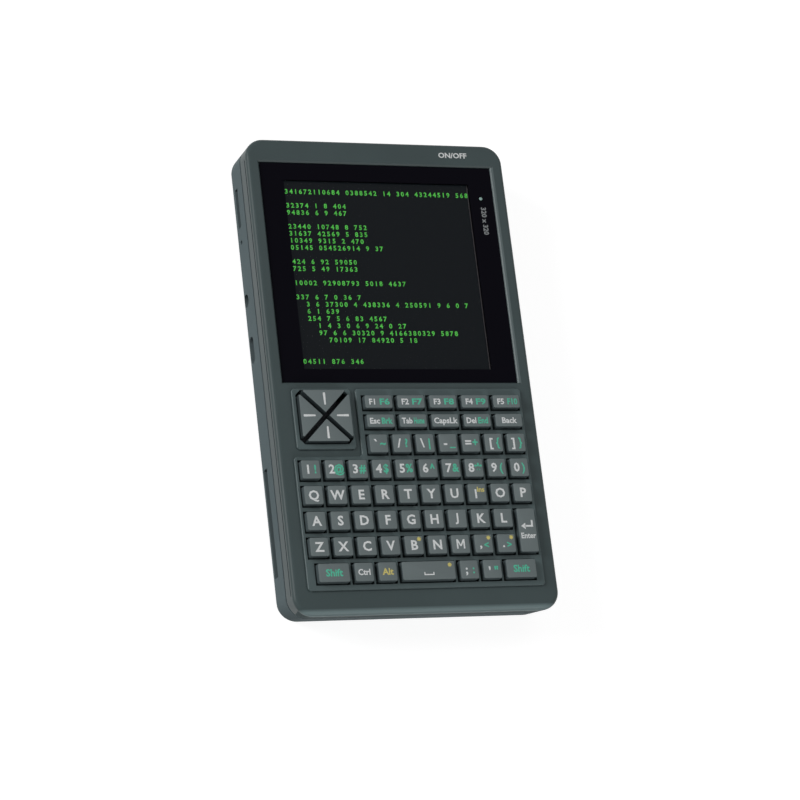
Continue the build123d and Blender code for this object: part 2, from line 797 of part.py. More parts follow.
def make_power_switch():
    """Side-push switch on the main board behind the power button."""
    reach = body_l / 2 - wall - flange_gap - button_flange - button_travel - dome_gap
    back = reach - 4.6
    body = span(button_x - 3, button_x + 3, back, reach - 0.8, main_top_z, main_top_z + 2.4)
    plunger = span(button_x - 1.4, button_x + 1.4, reach - 0.8, reach, main_top_z + 0.1,
                   main_top_z + 1.1)
    return body + plunger


def make_screw(head_d, head_h, length):
    """Screw that hangs from its head at z 0, shank upwards."""
    return post(0, 0, -head_h, head_d, 0) + post(0, 0, 0, screw_d, length)


def make_case_screws():
    """Six long screws from the back into the front shell."""
    seat = wall + case_head_h
    length = split_z + case_grip - seat
    screw = make_screw(case_head_d, case_head_h, length - dome_gap)
    return Compound(children=[Pos(x, y, seat) * screw for x, y in case_points])


def make_board_screws():
    """Short screws of the main board, the keypad board and the screen frame."""
    screw = make_screw(board_head_d, board_head_h, board_screw_l - screw_fit)
    up = [Pos(x, y, keyboard_low_z) * screw for x, y in post_points]
    up += [Pos(x, y, frame_low_z) * screw for x, y in frame_points]
    down = [Pos(x, y, main_top_z) * (Rot(180, 0, 0) * screw) for x, y in standoff_points]
    return Compound(children=up + down)


def save(name, part):
    """Write one node."""
    export_step(part, "parts/" + name + ".step")


def main():
    """Build and write every node."""
    fixed = {
        "front_case": make_front_case, "rear_case": make_rear_case, "screen_lens": make_lens,
        "display_panel": make_panel, "display_frame": make_frame,
        "display_cable": make_display_cable, "status_lamp": make_lamp, "keypad_mat": make_mat,
        "keypad_board": make_keypad_board, "board_link": make_board_link,
        "main_board": make_main_board, "processor_module": make_module,
        "battery_pack": make_battery, "speakers": make_speakers, "card_socket": make_card_socket,
        "usb_port": make_usb_port, "audio_jack": make_audio_jack,
        "expansion_header": make_expansion_header, "power_button": make_power_button,
        "power_switch": make_power_switch, "case_screws": make_case_screws,
        "board_screws": make_board_screws,
    }
    for name, maker in fixed.items():
        save(name, maker())
    for name, places in key_groups().items():
        keys = [make_key(*place) for place in places]
        save(name, keys[0] if len(keys) == 1 else Compound(children=keys))
    for name, turn in arrow_turns().items():
        save(name, make_arrow(turn))


main()
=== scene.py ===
"""Looks of a pocket computer terminal: shells, keys, legends, screen and sockets.

Lengths are in millimetres, but in metres in the finishes and for the studio's floor and lamps.
"""
import logging
import math
import random
from dataclasses import dataclass, replace
from enum import Enum
from typing import Iterable, Optional, Union

import bmesh
import bpy
from mathutils import Matrix, Vector


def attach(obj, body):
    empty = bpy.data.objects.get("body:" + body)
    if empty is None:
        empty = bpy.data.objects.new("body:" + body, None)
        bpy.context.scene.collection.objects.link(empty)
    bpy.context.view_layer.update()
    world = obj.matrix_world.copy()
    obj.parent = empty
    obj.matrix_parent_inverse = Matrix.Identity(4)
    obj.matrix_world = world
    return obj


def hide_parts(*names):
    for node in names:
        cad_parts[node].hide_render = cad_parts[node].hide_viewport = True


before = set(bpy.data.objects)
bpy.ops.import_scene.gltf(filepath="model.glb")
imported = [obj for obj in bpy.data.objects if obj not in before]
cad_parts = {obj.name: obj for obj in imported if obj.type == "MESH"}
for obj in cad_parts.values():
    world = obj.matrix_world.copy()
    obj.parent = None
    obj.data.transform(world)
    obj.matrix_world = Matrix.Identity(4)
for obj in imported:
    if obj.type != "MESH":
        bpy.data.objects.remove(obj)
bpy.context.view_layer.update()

log = logging.getLogger("terminal")

MM = 0.001
ROOT = "terminal"
Colour = tuple[float, float, float]
Point2 = tuple[float, float]
Place = tuple[float, float, float]
Settings = dict[str, object]


def srgb(red: int, green: int, blue: int) -> Colour:
    """Linear colour of a screen colour, whose parts go from 0 to 255."""
    return tuple(((v / 255 + 0.055) / 1.055) ** 2.4 for v in (red, green, blue))


def shade(colour: Colour, factor: float) -> Colour:
    """A darker or lighter form of a colour."""
    return tuple(min(1.0, c * factor) for c in colour)


def in_scene(name: str, data: bpy.types.ID) -> bpy.types.Object:
    """Puts an object of some data in the scene.

    Args:
        name: Name of the object.
        data: Its mesh, text, lamp or camera.

    Returns:
        The object.
    """
    thing = bpy.data.objects.new(name, data)
    bpy.context.scene.collection.objects.link(thing)
    return thing


def settled(carrier: bpy.types.Object) -> bpy.types.Mesh:
    """Turns an object into a plain mesh, and removes its modifiers and the object.

    Args:
        carrier: A text, or a mesh with a modifier.

    Returns:
        What it looks like as a mesh.
    """
    graph = bpy.context.evaluated_depsgraph_get()
    data = bpy.data.meshes.new_from_object(carrier.evaluated_get(graph), depsgraph=graph)
    carrier.modifiers.clear()
    bpy.data.objects.remove(carrier)
    return data


def new_node(
    tree: bpy.types.NodeTree, kind: str, settings: Settings, inputs: dict
) -> bpy.types.Node:
    """Adds a node to a tree.

    Args:
        tree: The tree.
        kind: The node's type.
        settings: Properties of the node.
        inputs: Sockets or values by input name or place.

    Returns:
        The node.
    """
    node = tree.nodes.new(kind)
    for key, setting in settings.items():
        setattr(node, key, setting)
    for key, item in inputs.items():
        if isinstance(item, bpy.types.NodeSocket):
            tree.links.new(item, node.inputs[key])
        else:
            node.inputs[key].default_value = item
    return node


class Value:
    """A socket's output that takes part in Python expressions."""

    def __init__(self, graph: "Graph", socket: bpy.types.NodeSocket) -> None:
        """Wraps a socket of a graph."""
        self.graph = graph
        self.socket = socket

    def math(self, operation: str, *others: "Term") -> "Value":
        """Adds one Math node that takes this value first."""
        terms = dict(enumerate((self, *others)))
        return self.graph.add("ShaderNodeMath", {"operation": operation}, terms)

    def __add__(self, other: "Term") -> "Value":
        """Sum."""
        return self.math("ADD", other)

    def __sub__(self, other: "Term") -> "Value":
        """Difference."""
        return self.math("SUBTRACT", other)

    def __rsub__(self, other: float) -> "Value":
        """Difference from a number."""
        return self.math("MULTIPLY", -1.0) + other

    def __mul__(self, other: "Term") -> "Value":
        """Product."""
        return self.math("MULTIPLY", other)

    def __pow__(self, other: "Term") -> "Value":
        """Power."""
        return self.math("POWER", other)

    def above(self, edge: float) -> "Value":
        """One where the value passes an edge, else zero."""
        return self.math("GREATER_THAN", edge)

    __radd__ = __add__
    __rmul__ = __mul__


Term = Union[float, Value]


class Graph:
    """The node tree of a material or a world, built from expressions."""

    def __init__(self, owner: Union[bpy.types.Material, bpy.types.World]) -> None:
        """Empties the tree of its owner.

        Args:
            owner: The material or world.
        """
        self.owner = owner
        owner.use_nodes = True
        self.tree = owner.node_tree
        self.tree.nodes.clear()

    def add(
        self,
        kind: str,
        settings: Optional[Settings] = None,
        inputs: Optional[dict] = None,
        output: Union[int, str] = 0,
    ) -> Value:
        """Adds any node and gives one of its outputs."""
        plain = {key: getattr(item, "socket", item) for key, item in (inputs or {}).items()}
        return Value(self, new_node(self.tree, kind, settings or {}, plain).outputs[output])

    def place(self) -> Value:
        """Object coordinates."""
        return self.add("ShaderNodeTexCoord", output="Object")

    def axis(self, which: str) -> Value:
        """One of the object coordinates, in metres."""
        return self.add("ShaderNodeSeparateXYZ", inputs={0: self.place()}, output=which)

    def noise(self, grain: float, detail: float = 2.0) -> Value:
        """Noise from 0 to 1 with grains of one size, and octaves of finer detail."""
        sockets = {"Vector": self.place(), "Scale": 1 / grain, "Detail": detail}
        return self.add("ShaderNodeTexNoise", inputs=sockets)

    def mix(self, share: Term, low: Colour, high: Union[Value, Colour]) -> Value:
        """Mixes two colours.

        Args:
            share: Share of the second colour.
            low: First colour.
            high: Second colour.

        Returns:
            The mixed colour.
        """
        last = high if isinstance(high, Value) else (*high, 1)
        settings = {"data_type": "RGBA", "clamp_factor": True}
        return self.add("ShaderNodeMix", settings, {0: share, 6: (*low, 1), 7: last}, 2)

    def bump(self, height: Value, depth: float, strength: float = 1.0) -> Value:
        """Bent normal of a height that goes from 0 to 1 and is depth metres deep."""
        sockets = {"Height": height, "Distance": depth, "Strength": strength}
        return self.add("ShaderNodeBump", inputs=sockets)

    def seen(self) -> Value:
        """One for rays from the camera and off gloss or through glass, else zero.

        Returns:
            The value.
        """
        kinds = ("Is Camera Ray", "Is Glossy Ray", "Is Transmission Ray")
        camera, gloss, through = (self.add("ShaderNodeLightPath", output=kind) for kind in kinds)
        return camera.math("MAXIMUM", gloss).math("MAXIMUM", through)

    def choose(self, share: Value, low: Value, high: Value) -> Value:
        """Mix of two shaders."""
        return self.add("ShaderNodeMixShader", inputs={0: share, 1: low, 2: high})

    def finish(self, shader: Value) -> Union[bpy.types.Material, bpy.types.World]:
        """Ends the tree in a shader.

        Args:
            shader: The shader.

        Returns:
            The material or world that owns the tree.
        """
        world = isinstance(self.owner, bpy.types.World)
        kind = "ShaderNodeOutputWorld" if world else "ShaderNodeOutputMaterial"
        new_node(self.tree, kind, {}, {"Surface": shader.socket})
        return self.owner

    def principled(self, **sockets: object) -> bpy.types.Material:
        """Ends the tree in one Principled shader, with _ for a space in its socket names."""
        named = {key.replace("_", " "): item for key, item in sockets.items()}
        return self.finish(self.add("ShaderNodeBsdfPrincipled", inputs=named))


@dataclass(frozen=True)
class Finish:
    """What every finish has: a name and a main colour."""

    name: str
    colour: Colour

    def graph(self) -> Graph:
        """An empty node tree for the finish."""
        return Graph(bpy.data.materials.new(self.name))


@dataclass(frozen=True)
class MouldedPlastic(Finish):
    """Matt moulded plastic with a fine spark-eroded grain, polished where it is held.

    In a band at the keyboard end, bounded by the Y and Z edges given, the plastic is lighter: a
    painted highlight on the rounded end edge, and the wall below it is rougher. Above a given
    height the raised key plate tops are lighter: painted light making up for the shade between
    the keys. Both settings are in metres.
    """

    worn: Colour
    roughness: float = 0.5
    grain: float = 0.00022
    depth: float = 0.000012
    specular: float = 0.24
    highlight_band: Optional[Point2] = None
    plate_light_height: Optional[float] = None

    cloud_size = 0.022
    hand_size = 0.045
    # how much brighter than the worn colour the painted light is
    pale = 2.0
    end_fade, wall_fade = 800.0, 1500.0
    wall_dulled = 0.35
    plate_light_share = 0.25

    def build(self) -> bpy.types.Material:
        """Builds the material.

        Returns:
            The material.
        """
        graph = self.graph()
        cloud = graph.noise(self.cloud_size, detail=3.0) - 0.5
        fine = graph.noise(self.grain, detail=1.0)
        handled = graph.noise(self.hand_size, detail=5.0) ** 3.0
        # painted light: the worn colour made brighter, for the highlight band and the raised plate
        # tops
        painted_light = shade(self.worn, self.pale)
        share = handled * 0.5 + cloud * 0.35 + (fine - 0.5) * 0.3
        base = graph.mix(share, self.colour, self.worn)
        roughness = cloud * 0.16 + self.roughness - handled * 0.12
        # painted highlight: a lighter band on the rounded keyboard-end edge; the wall below it is
        # rougher
        if self.highlight_band:
            over, above = self.highlight_band
            inside = (graph.axis("Y") - over) * self.end_fade + 1.0
            below = (above - graph.axis("Z")) * self.wall_fade
            base = graph.mix(inside.math("MAXIMUM", below), painted_light, base)
            roughness = roughness + below.above(0.5) * (1 - inside.above(1.0)) * self.wall_dulled
        # painted light: the raised plate tops are lighter, making up for the shade between the
        # keys
        if self.plate_light_height:
            raised = graph.axis("Z").above(self.plate_light_height)
            base = graph.mix(1 - raised * self.plate_light_share, painted_light, base)
        return graph.principled(
            Base_Color=base,
            Roughness=roughness,
            Normal=graph.bump(fine, self.depth),
            Specular_IOR_Level=self.specular,
        )


@dataclass(frozen=True)
class PrintedInk(Finish):
    """Pad-printed ink, thin enough for small specks to show."""

    def build(self) -> bpy.types.Material:
        """Builds the material.

        Returns:
            The material.
        """
        graph = self.graph()
        speck = graph.noise(grain=0.0005, detail=4.0)
        return graph.principled(
            Base_Color=graph.mix((speck - 0.35) * 2.0, shade(self.colour, 0.72), self.colour),
            Roughness=speck * 0.2 + 0.4,
            Specular_IOR_Level=0.2,
        )


@dataclass(frozen=True)
class TintedGlass(Finish):
    """Cover glass: a black printed border round a tinted see-through window."""

    border: Colour
    centre: Point2
    side: float

    cover = 0.3

    def build(self) -> bpy.types.Material:
        """Builds the material.

        Returns:
            The material.
        """
        graph = self.graph()
        over = [
            (graph.axis(which) - middle).math("ABSOLUTE").above(self.side / 2)
            for which, middle in zip("XY", self.centre)
        ]
        outside = over[0].math("MAXIMUM", over[1])
        smear = graph.noise(grain=0.03, detail=4.0) - 0.5
        return graph.principled(
            Base_Color=graph.mix(outside, self.colour, self.border),
            Roughness=smear * 0.12 + 0.12,
            Alpha=outside * (1 - self.cover) + self.cover,
            Specular_IOR_Level=0.008,
        )


@dataclass(frozen=True)
class ScreenFace(Finish):
    """Lit face of the display, dark grey with its rows of pixels."""

    pixel: float

    def build(self) -> bpy.types.Material:
        """Builds the material.

        Returns:
            The material.
        """
        graph = self.graph()
        rows = (graph.axis("Y") * (2 * math.pi / self.pixel)).math("SINE")
        level = rows * 0.06 + (graph.noise(grain=0.02) - 0.5) * 0.25 + 0.5
        return graph.principled(
            Base_Color=(0.004, 0.004, 0.005, 1),
            Roughness=0.35,
            Emission_Color=graph.mix(level, self.colour, shade(self.colour, 1.5)),
            Emission_Strength=1.0,
            Specular_IOR_Level=0.1,
        )


@dataclass(frozen=True)
class GlowingPixels(Finish):
    """Lit pixels of the rows of numbers."""

    def build(self) -> bpy.types.Material:
        """Builds the material.

        Returns:
            The material.
        """
        graph = self.graph()
        flicker = (graph.noise(grain=0.0011, detail=3.0) - 0.3) * 2.2
        return graph.principled(
            Base_Color=(0.0, 0.0, 0.0, 1),
            Roughness=0.6,
            Emission_Color=graph.mix(flicker, shade(self.colour, 0.55), self.colour),
            Emission_Strength=1.0,
            Specular_IOR_Level=0.0,
        )


@dataclass(frozen=True)
class LightGuide(Finish):
    """Frosted light guide, dimly lit from inside."""

    glow = 0.05

    def build(self) -> bpy.types.Material:
        """Builds the material.

        Returns:
            The material.
        """
        graph = self.graph()
        frost = graph.noise(grain=0.0004, detail=3.0)
        return graph.principled(
            Base_Color=graph.mix(frost, self.colour, shade(self.colour, 1.6)),
            Roughness=frost * 0.2 + 0.25,
            Emission_Color=(*self.colour, 1),
            Emission_Strength=self.glow,
        )


@dataclass(frozen=True)
class SheetMetal(Finish):
    """Rolled or plated metal with fine draw lines."""

    roughness: float = 0.34

    line_scale = (4000, 250, 4000)

    def build(self) -> bpy.types.Material:
        """Builds the material.

        Returns:
            The material.
        """
        graph = self.graph()
        sockets = {"Vector": graph.place(), "Scale": self.line_scale}
        stretched = graph.add("ShaderNodeMapping", inputs=sockets)
        sockets = {"Vector": stretched, "Scale": 1.0, "Detail": 3.0}
        lines = graph.add("ShaderNodeTexNoise", inputs=sockets)
        stain = graph.noise(grain=0.006, detail=4.0)
        return graph.principled(
            Base_Color=graph.mix(stain, shade(self.colour, 0.7), self.colour),
            Metallic=1.0,
            Roughness=(lines - 0.5) * 0.25 + self.roughness,
            Normal=graph.bump(lines, depth=0.000004, strength=0.6),
        )


@dataclass(frozen=True)
class SolderMask(Finish):
    """Circuit board: coloured mask over traces and weave."""

    cells_per_metre = 260.0
    trace_width = 0.08

    def build(self) -> bpy.types.Material:
        """Builds the material.

        Returns:
            The material.
        """
        graph = self.graph()
        settings = {"feature": "DISTANCE_TO_EDGE"}
        sockets = {"Vector": graph.place(), "Scale": self.cells_per_metre}
        cells = graph.add("ShaderNodeTexVoronoi", settings, sockets, "Distance")
        trace = 1 - cells.above(self.trace_width)
        weave = graph.noise(grain=0.0006)
        return graph.principled(
            Base_Color=graph.mix(trace * 0.6 + weave * 0.2, self.colour, shade(self.colour, 2.2)),
            Roughness=weave * 0.15 + 0.3,
            Normal=graph.bump(trace, depth=0.00003, strength=0.5),
        )


@dataclass(frozen=True)
class SoftRubber(Finish):
    """Moulded silicone with a dusty bloom."""

    def build(self) -> bpy.types.Material:
        """Builds the material.

        Returns:
            The material.
        """
        graph = self.graph()
        bloom = graph.noise(grain=0.004, detail=5.0)
        return graph.principled(
            Base_Color=graph.mix(bloom * 0.6, self.colour, shade(self.colour, 1.7)),
            Roughness=bloom * 0.2 + 0.6,
            Normal=graph.bump(graph.noise(grain=0.0003), depth=0.00001),
            Specular_IOR_Level=0.3,
        )


@dataclass(frozen=True)
class Film(Finish):
    """Thin laminate: amber cable film or the foil of a pouch."""

    metallic: float
    crease: float

    def build(self) -> bpy.types.Material:
        """Builds the material.

        Returns:
            The material.
        """
        graph = self.graph()
        folds = graph.noise(self.crease, detail=5.0)
        return graph.principled(
            Base_Color=graph.mix(folds, shade(self.colour, 0.6), self.colour),
            Metallic=self.metallic,
            Roughness=folds * 0.25 + 0.2,
            Normal=graph.bump(folds, depth=self.crease * 0.02, strength=0.5),
        )


class Ink(Enum):
    """The inks of the legends, with their places in a legend's material list."""

    WHITE = 0
    GREEN = 1
    YELLOW = 2


SCREEN_CENTRE = (-0.6, 37.2)
SCREEN_SIDE = 71.9
SCREEN_PIXEL = 0.2247


def finishes() -> dict[str, bpy.types.Material]:
    """Builds every finish of the terminal.

    Returns:
        The materials by name.
    """
    middle = tuple(v * MM for v in SCREEN_CENTRE)
    recipes = [
        MouldedPlastic(
            "front_plastic",
            srgb(60, 72, 73),
            srgb(80, 93, 94),
            roughness=0.42,
            specular=0.18,
            # painted highlight on the keyboard end's rounded edge, and painted light on the raised
            # plate tops
            highlight_band=(-0.0862, 0.0205),
            plate_light_height=0.0224,
        ),
        # a lighter, glossier copy of the front plastic for the window's right rim: painted
        # highlight
        MouldedPlastic("rim_plastic", srgb(78, 90, 91), srgb(98, 110, 111), roughness=0.34),
        MouldedPlastic(
            "rear_plastic", srgb(92, 104, 107), srgb(116, 128, 131), roughness=0.62, specular=0.02
        ),
        MouldedPlastic(
            "key_plastic",
            srgb(102, 112, 113),
            srgb(122, 132, 132),
            grain=0.00018,
            depth=0.00001,
        ),
        # a darker copy of the key plastic for the keys' sides: painted shade
        MouldedPlastic("key_base", srgb(66, 76, 78), srgb(80, 90, 92), roughness=0.55),
        # a still darker copy for the arrow wedges' sides: painted shade
        MouldedPlastic("pad_base", srgb(38, 46, 48), srgb(50, 58, 60), roughness=0.55),
        MouldedPlastic("black_plastic", srgb(22, 23, 25), srgb(40, 41, 43), roughness=0.45),
        MouldedPlastic("button_plastic", srgb(80, 89, 94), srgb(102, 111, 116)),
        PrintedInk("white_ink", srgb(240, 243, 243)),
        PrintedInk("green_ink", srgb(96, 206, 172)),
        PrintedInk("yellow_ink", srgb(228, 214, 128)),
        PrintedInk("grey_ink", srgb(150, 154, 156)),
        TintedGlass("cover_glass", srgb(3, 4, 6), srgb(13, 12, 19), middle, SCREEN_SIDE * MM),
        ScreenFace("screen_face", srgb(10, 15, 18), SCREEN_PIXEL * MM),
        GlowingPixels("screen_pixels", srgb(108, 232, 100)),
        # a light strip at the screen's right edge: painted highlight of the window's lit right
        # wall
        PrintedInk("screen_rim", srgb(120, 116, 120)),
        LightGuide("lamp_guide", srgb(118, 146, 140)),
        SheetMetal("pressed_steel", srgb(178, 180, 183)),
        SheetMetal("screw_steel", srgb(120, 122, 126), roughness=0.4),
        SheetMetal("gold_contact", srgb(214, 176, 92), roughness=0.28),
        SolderMask("board_mask", srgb(18, 82, 52)),
        SolderMask("module_mask", srgb(16, 64, 84)),
        SoftRubber("mat_rubber", srgb(70, 74, 78)),
        SoftRubber("speaker_surround", srgb(26, 26, 28)),
        Film("cable_film", srgb(176, 112, 40), metallic=0.1, crease=0.003),
        Film("pouch_foil", srgb(188, 192, 196), metallic=0.9, crease=0.008),
    ]
    return {recipe.name: recipe.build() for recipe in recipes}


ARC_STEPS = 4
EDGE_STEPS = 3
TURN_STEPS = 24
SMOOTH_UP_TO = math.radians(35)


def rectangle(half_x: float, half_y: float) -> list[Point2]:
    """Corners of a rectangle about zero, anticlockwise."""
    return [(-half_x, -half_y), (half_x, -half_y), (half_x, half_y), (-half_x, half_y)]


def circle(radius: float, steps: int) -> list[Point2]:
    """Points of a circle about zero, anticlockwise."""
    turns = [2 * math.pi * i / steps for i in range(steps)]
    return [(radius * math.cos(t), radius * math.sin(t)) for t in turns]


def rounded(corners: list[Point2], radius: float) -> list[Point2]:
    """Convex outline with an arc in place of each corner.

    Args:
        corners: The outline, anticlockwise.
        radius: Radius of the arcs.

    Returns:
        The softened outline.
    """
    points = [Vector(c) for c in corners]
    result = []
    for i, corner in enumerate(points):
        before = (points[i - 1] - corner).normalized()
        after = (points[(i + 1) % len(points)] - corner).normalized()
        half = before.angle(after) / 2
        centre = corner + (before + after).normalized() * radius / math.sin(half)
        start = corner + before * radius / math.tan(half) - centre
        for step in range(ARC_STEPS + 1):
            turn = Matrix.Rotation((math.pi - 2 * half) * step / ARC_STEPS, 2)
            result.append(tuple(centre + turn @ start))
    return result


def inset(outline: list[Point2], distance: float) -> list[Point2]:
    """Outline drawn in by a distance.

    Args:
        outline: The outline, anticlockwise.
        distance: How far each side moves in.

    Returns:
        The smaller outline, with as many points.
    """
    points = [Vector(p) for p in outline]
    inward = []
    for i, point in enumerate(points):
        along = (points[(i + 1) % len(points)] - point).normalized()
        inward.append(Vector((-along.y, along.x)))
    result = []
    for i, point in enumerate(points):
        bisector = (inward[i - 1] + inward[i]).normalized()
        result.append(tuple(point + bisector * distance / bisector.dot(inward[i])))
    return result


def plain_mesh(name: str, draft: bmesh.types.BMesh) -> bpy.types.Mesh:
    """Ends a mesh in the making.

    Args:
        name: Name of the mesh.
        draft: The mesh in the making, which is freed.

    Returns:
        The mesh.
    """
    data = bpy.data.meshes.new(name)
    draft.to_mesh(data)
    draft.free()
    return data


class Piece:
    """A mesh in the making, in millimetres, that becomes one visible piece."""

    def __init__(self, name: str, *materials: bpy.types.Material) -> None:
        """Starts an empty mesh.

        Args:
            name: Name of the piece.
            *materials: Its materials in order.
        """
        self.name = name
        self.materials = materials
        self.mesh = bmesh.new()

    def skin(self, rings: list[list[Place]], slot: int = 0) -> None:
        """Adds a closed skin through rings of equal count, capped at both ends.

        Args:
            rings: The rings from the lowest up, each anticlockwise.
            slot: Material of the skin.
        """
        made = [[self.mesh.verts.new(p) for p in ring] for ring in rings]
        faces = [made[0][::-1], made[-1]]
        for low, high in zip(made, made[1:]):
            for i in range(len(low)):
                j = (i + 1) % len(low)
                faces.append([low[i], low[j], high[j], high[i]])
        for corners in faces:
            self.mesh.faces.new(corners).material_index = slot

    def block(
        self,
        outline: list[Point2],
        low: float,
        high: float,
        edge: float = 0.0,
        draft: float = 0.0,
        slot: int = 0,
    ) -> None:
        """Adds an upright block with leaning sides and a round top edge.

        Args:
            outline: Its foot, anticlockwise.
            low: Height of its foot.
            high: Height of its top.
            edge: Radius of its top edge.
            draft: How far the sides lean in.
            slot: Its material.
        """
        rings = [(0.0, low)]
        if edge:
            for step in range(EDGE_STEPS + 1):
                turn = math.pi / 2 / EDGE_STEPS * step
                lean = draft + edge * (1 - math.cos(turn))
                rings.append((lean, high - edge * (1 - math.sin(turn))))
        else:
            rings.append((draft, high))
        outlines = [(inset(outline, lean) if lean else outline, z) for lean, z in rings]
        self.skin([[(x, y, z) for x, y in points] for points, z in outlines], slot)

    def box(self, low: Place, high: Place) -> None:
        """Adds a plain box between two corners."""
        outline = [(low[0], low[1]), (high[0], low[1]), (high[0], high[1]), (low[0], high[1])]
        self.block(outline, low[2], high[2])

    def revolve(self, profile: list[Point2], centre: Point2) -> None:
        """Adds a profile turned about an upright line.

        Args:
            profile: Radius and height pairs from the lowest up.
            centre: Where the line stands.
        """
        rings = []
        for radius, z in profile:
            ring = circle(radius, TURN_STEPS)
            rings.append([(centre[0] + x, centre[1] + y, z) for x, y in ring])
        self.skin(rings)

    def data(self) -> bpy.types.Mesh:
        """Ends the mesh.

        Returns:
            The mesh in metres.
        """
        data = plain_mesh(self.name, self.mesh)
        data.transform(Matrix.Scale(MM, 4))
        return data

    def finish(self, body: str, slot: str, replaced: Iterable[str] = ()) -> None:
        """Makes the piece in the place of some CAD nodes and lets it ride on its body."""
        dress_piece(self.name, self.data(), self.materials, body, slot, replaced)


def dress_piece(
    name: str,
    data: bpy.types.Mesh,
    materials: Iterable[bpy.types.Material],
    body: str,
    slot: str,
    replaced: Iterable[str] = (),
) -> None:
    """Makes an object of a mesh in metres and lets it ride on its body.

    Args:
        name: Name of the piece.
        data: Its mesh.
        materials: Its materials in order, for a mesh that has none.
        body: CAD body that carries it.
        slot: The record's material slot; not used.
        replaced: CAD nodes that it stands for.
    """
    if not data.materials:
        for material in materials:
            data.materials.append(material)
    for polygon in data.polygons:
        polygon.use_smooth = True
    data.set_sharp_from_angle(angle=SMOOTH_UP_TO)
    piece = in_scene(name, data)
    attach(piece, body)
    if replaced:
        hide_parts(*replaced)
    log.info("%s: %d faces on %s", name, len(data.polygons), body)


class NodeGroup:
    """A Geometry Nodes tree with named inputs."""

    def __init__(self, name: str, kinds: dict[str, str]) -> None:
        """Starts a tree.

        Args:
            name: Name of the tree.
            kinds: Socket types of its inputs, by name.
        """
        self.tree = bpy.data.node_groups.new(name, "GeometryNodeTree")
        self.inputs = {}
        face = self.tree.interface
        face.new_socket("Geometry", in_out="INPUT", socket_type="NodeSocketGeometry")
        for key, kind in kinds.items():
            self.inputs[key] = face.new_socket(
                key, in_out="INPUT", socket_type="NodeSocket" + kind
            ).identifier
        face.new_socket("Geometry", in_out="OUTPUT", socket_type="NodeSocketGeometry")
        self.entry = self.tree.nodes.new("NodeGroupInput")
        self.exit = self.tree.nodes.new("NodeGroupOutput")

    def add(self, kind: str, links: dict, **settings: object) -> bpy.types.Node:
        """Adds a node to the tree."""
        return new_node(self.tree, kind, settings, links)

    def end(self, placed: bpy.types.Node, *coats: dict) -> None:
        """Realizes the instances, paints them and ends the tree.

        Args:
            placed: Node that gives the instances.
            *coats: Links of one Set Material node each, in order.
        """
        last = self.add("GeometryNodeRealizeInstances", {0: placed.outputs[0]})
        for coat in coats:
            last = self.add("GeometryNodeSetMaterial", {"Geometry": last.outputs[0], **coat})
        self.tree.links.new(last.outputs[0], self.exit.inputs[0])

    def bake(self, start: bpy.types.Mesh, values: dict[str, object]) -> bpy.types.Mesh:
        """Runs the tree once on a mesh.

        Args:
            start: The mesh that enters the tree.
            values: Input values by name.

        Returns:
            The mesh that leaves it.
        """
        carrier = in_scene("carrier", start)
        modifier = carrier.modifiers.new("tree", "NODES")
        modifier.node_group = self.tree
        for key, item in values.items():
            modifier[self.inputs[key]] = item
        result = settled(carrier)
        if result.materials and result.materials[0] is None:
            result.materials.pop(index=0)
        return result


def contact_row() -> NodeGroup:
    """Makes the tree of a row of equal contact blades.

    Returns:
        The tree.
    """
    vectors = {key: "Vector" for key in ("Start", "Pitch", "Blade")}
    group = NodeGroup("contact_row", {"Count": "Int", **vectors, "Material": "Material"})
    size = group.entry.outputs
    ends = {"Count": size["Count"], "Start Location": size["Start"], "Offset": size["Pitch"]}
    line = group.add("GeometryNodeMeshLine", ends, mode="OFFSET")
    blade = group.add("GeometryNodeMeshCube", {"Size": size["Blade"]})
    links = {"Points": line.outputs[0], "Instance": blade.outputs[0]}
    row = group.add("GeometryNodeInstanceOnPoints", links)
    group.end(row, {"Material": size["Material"]})
    return group


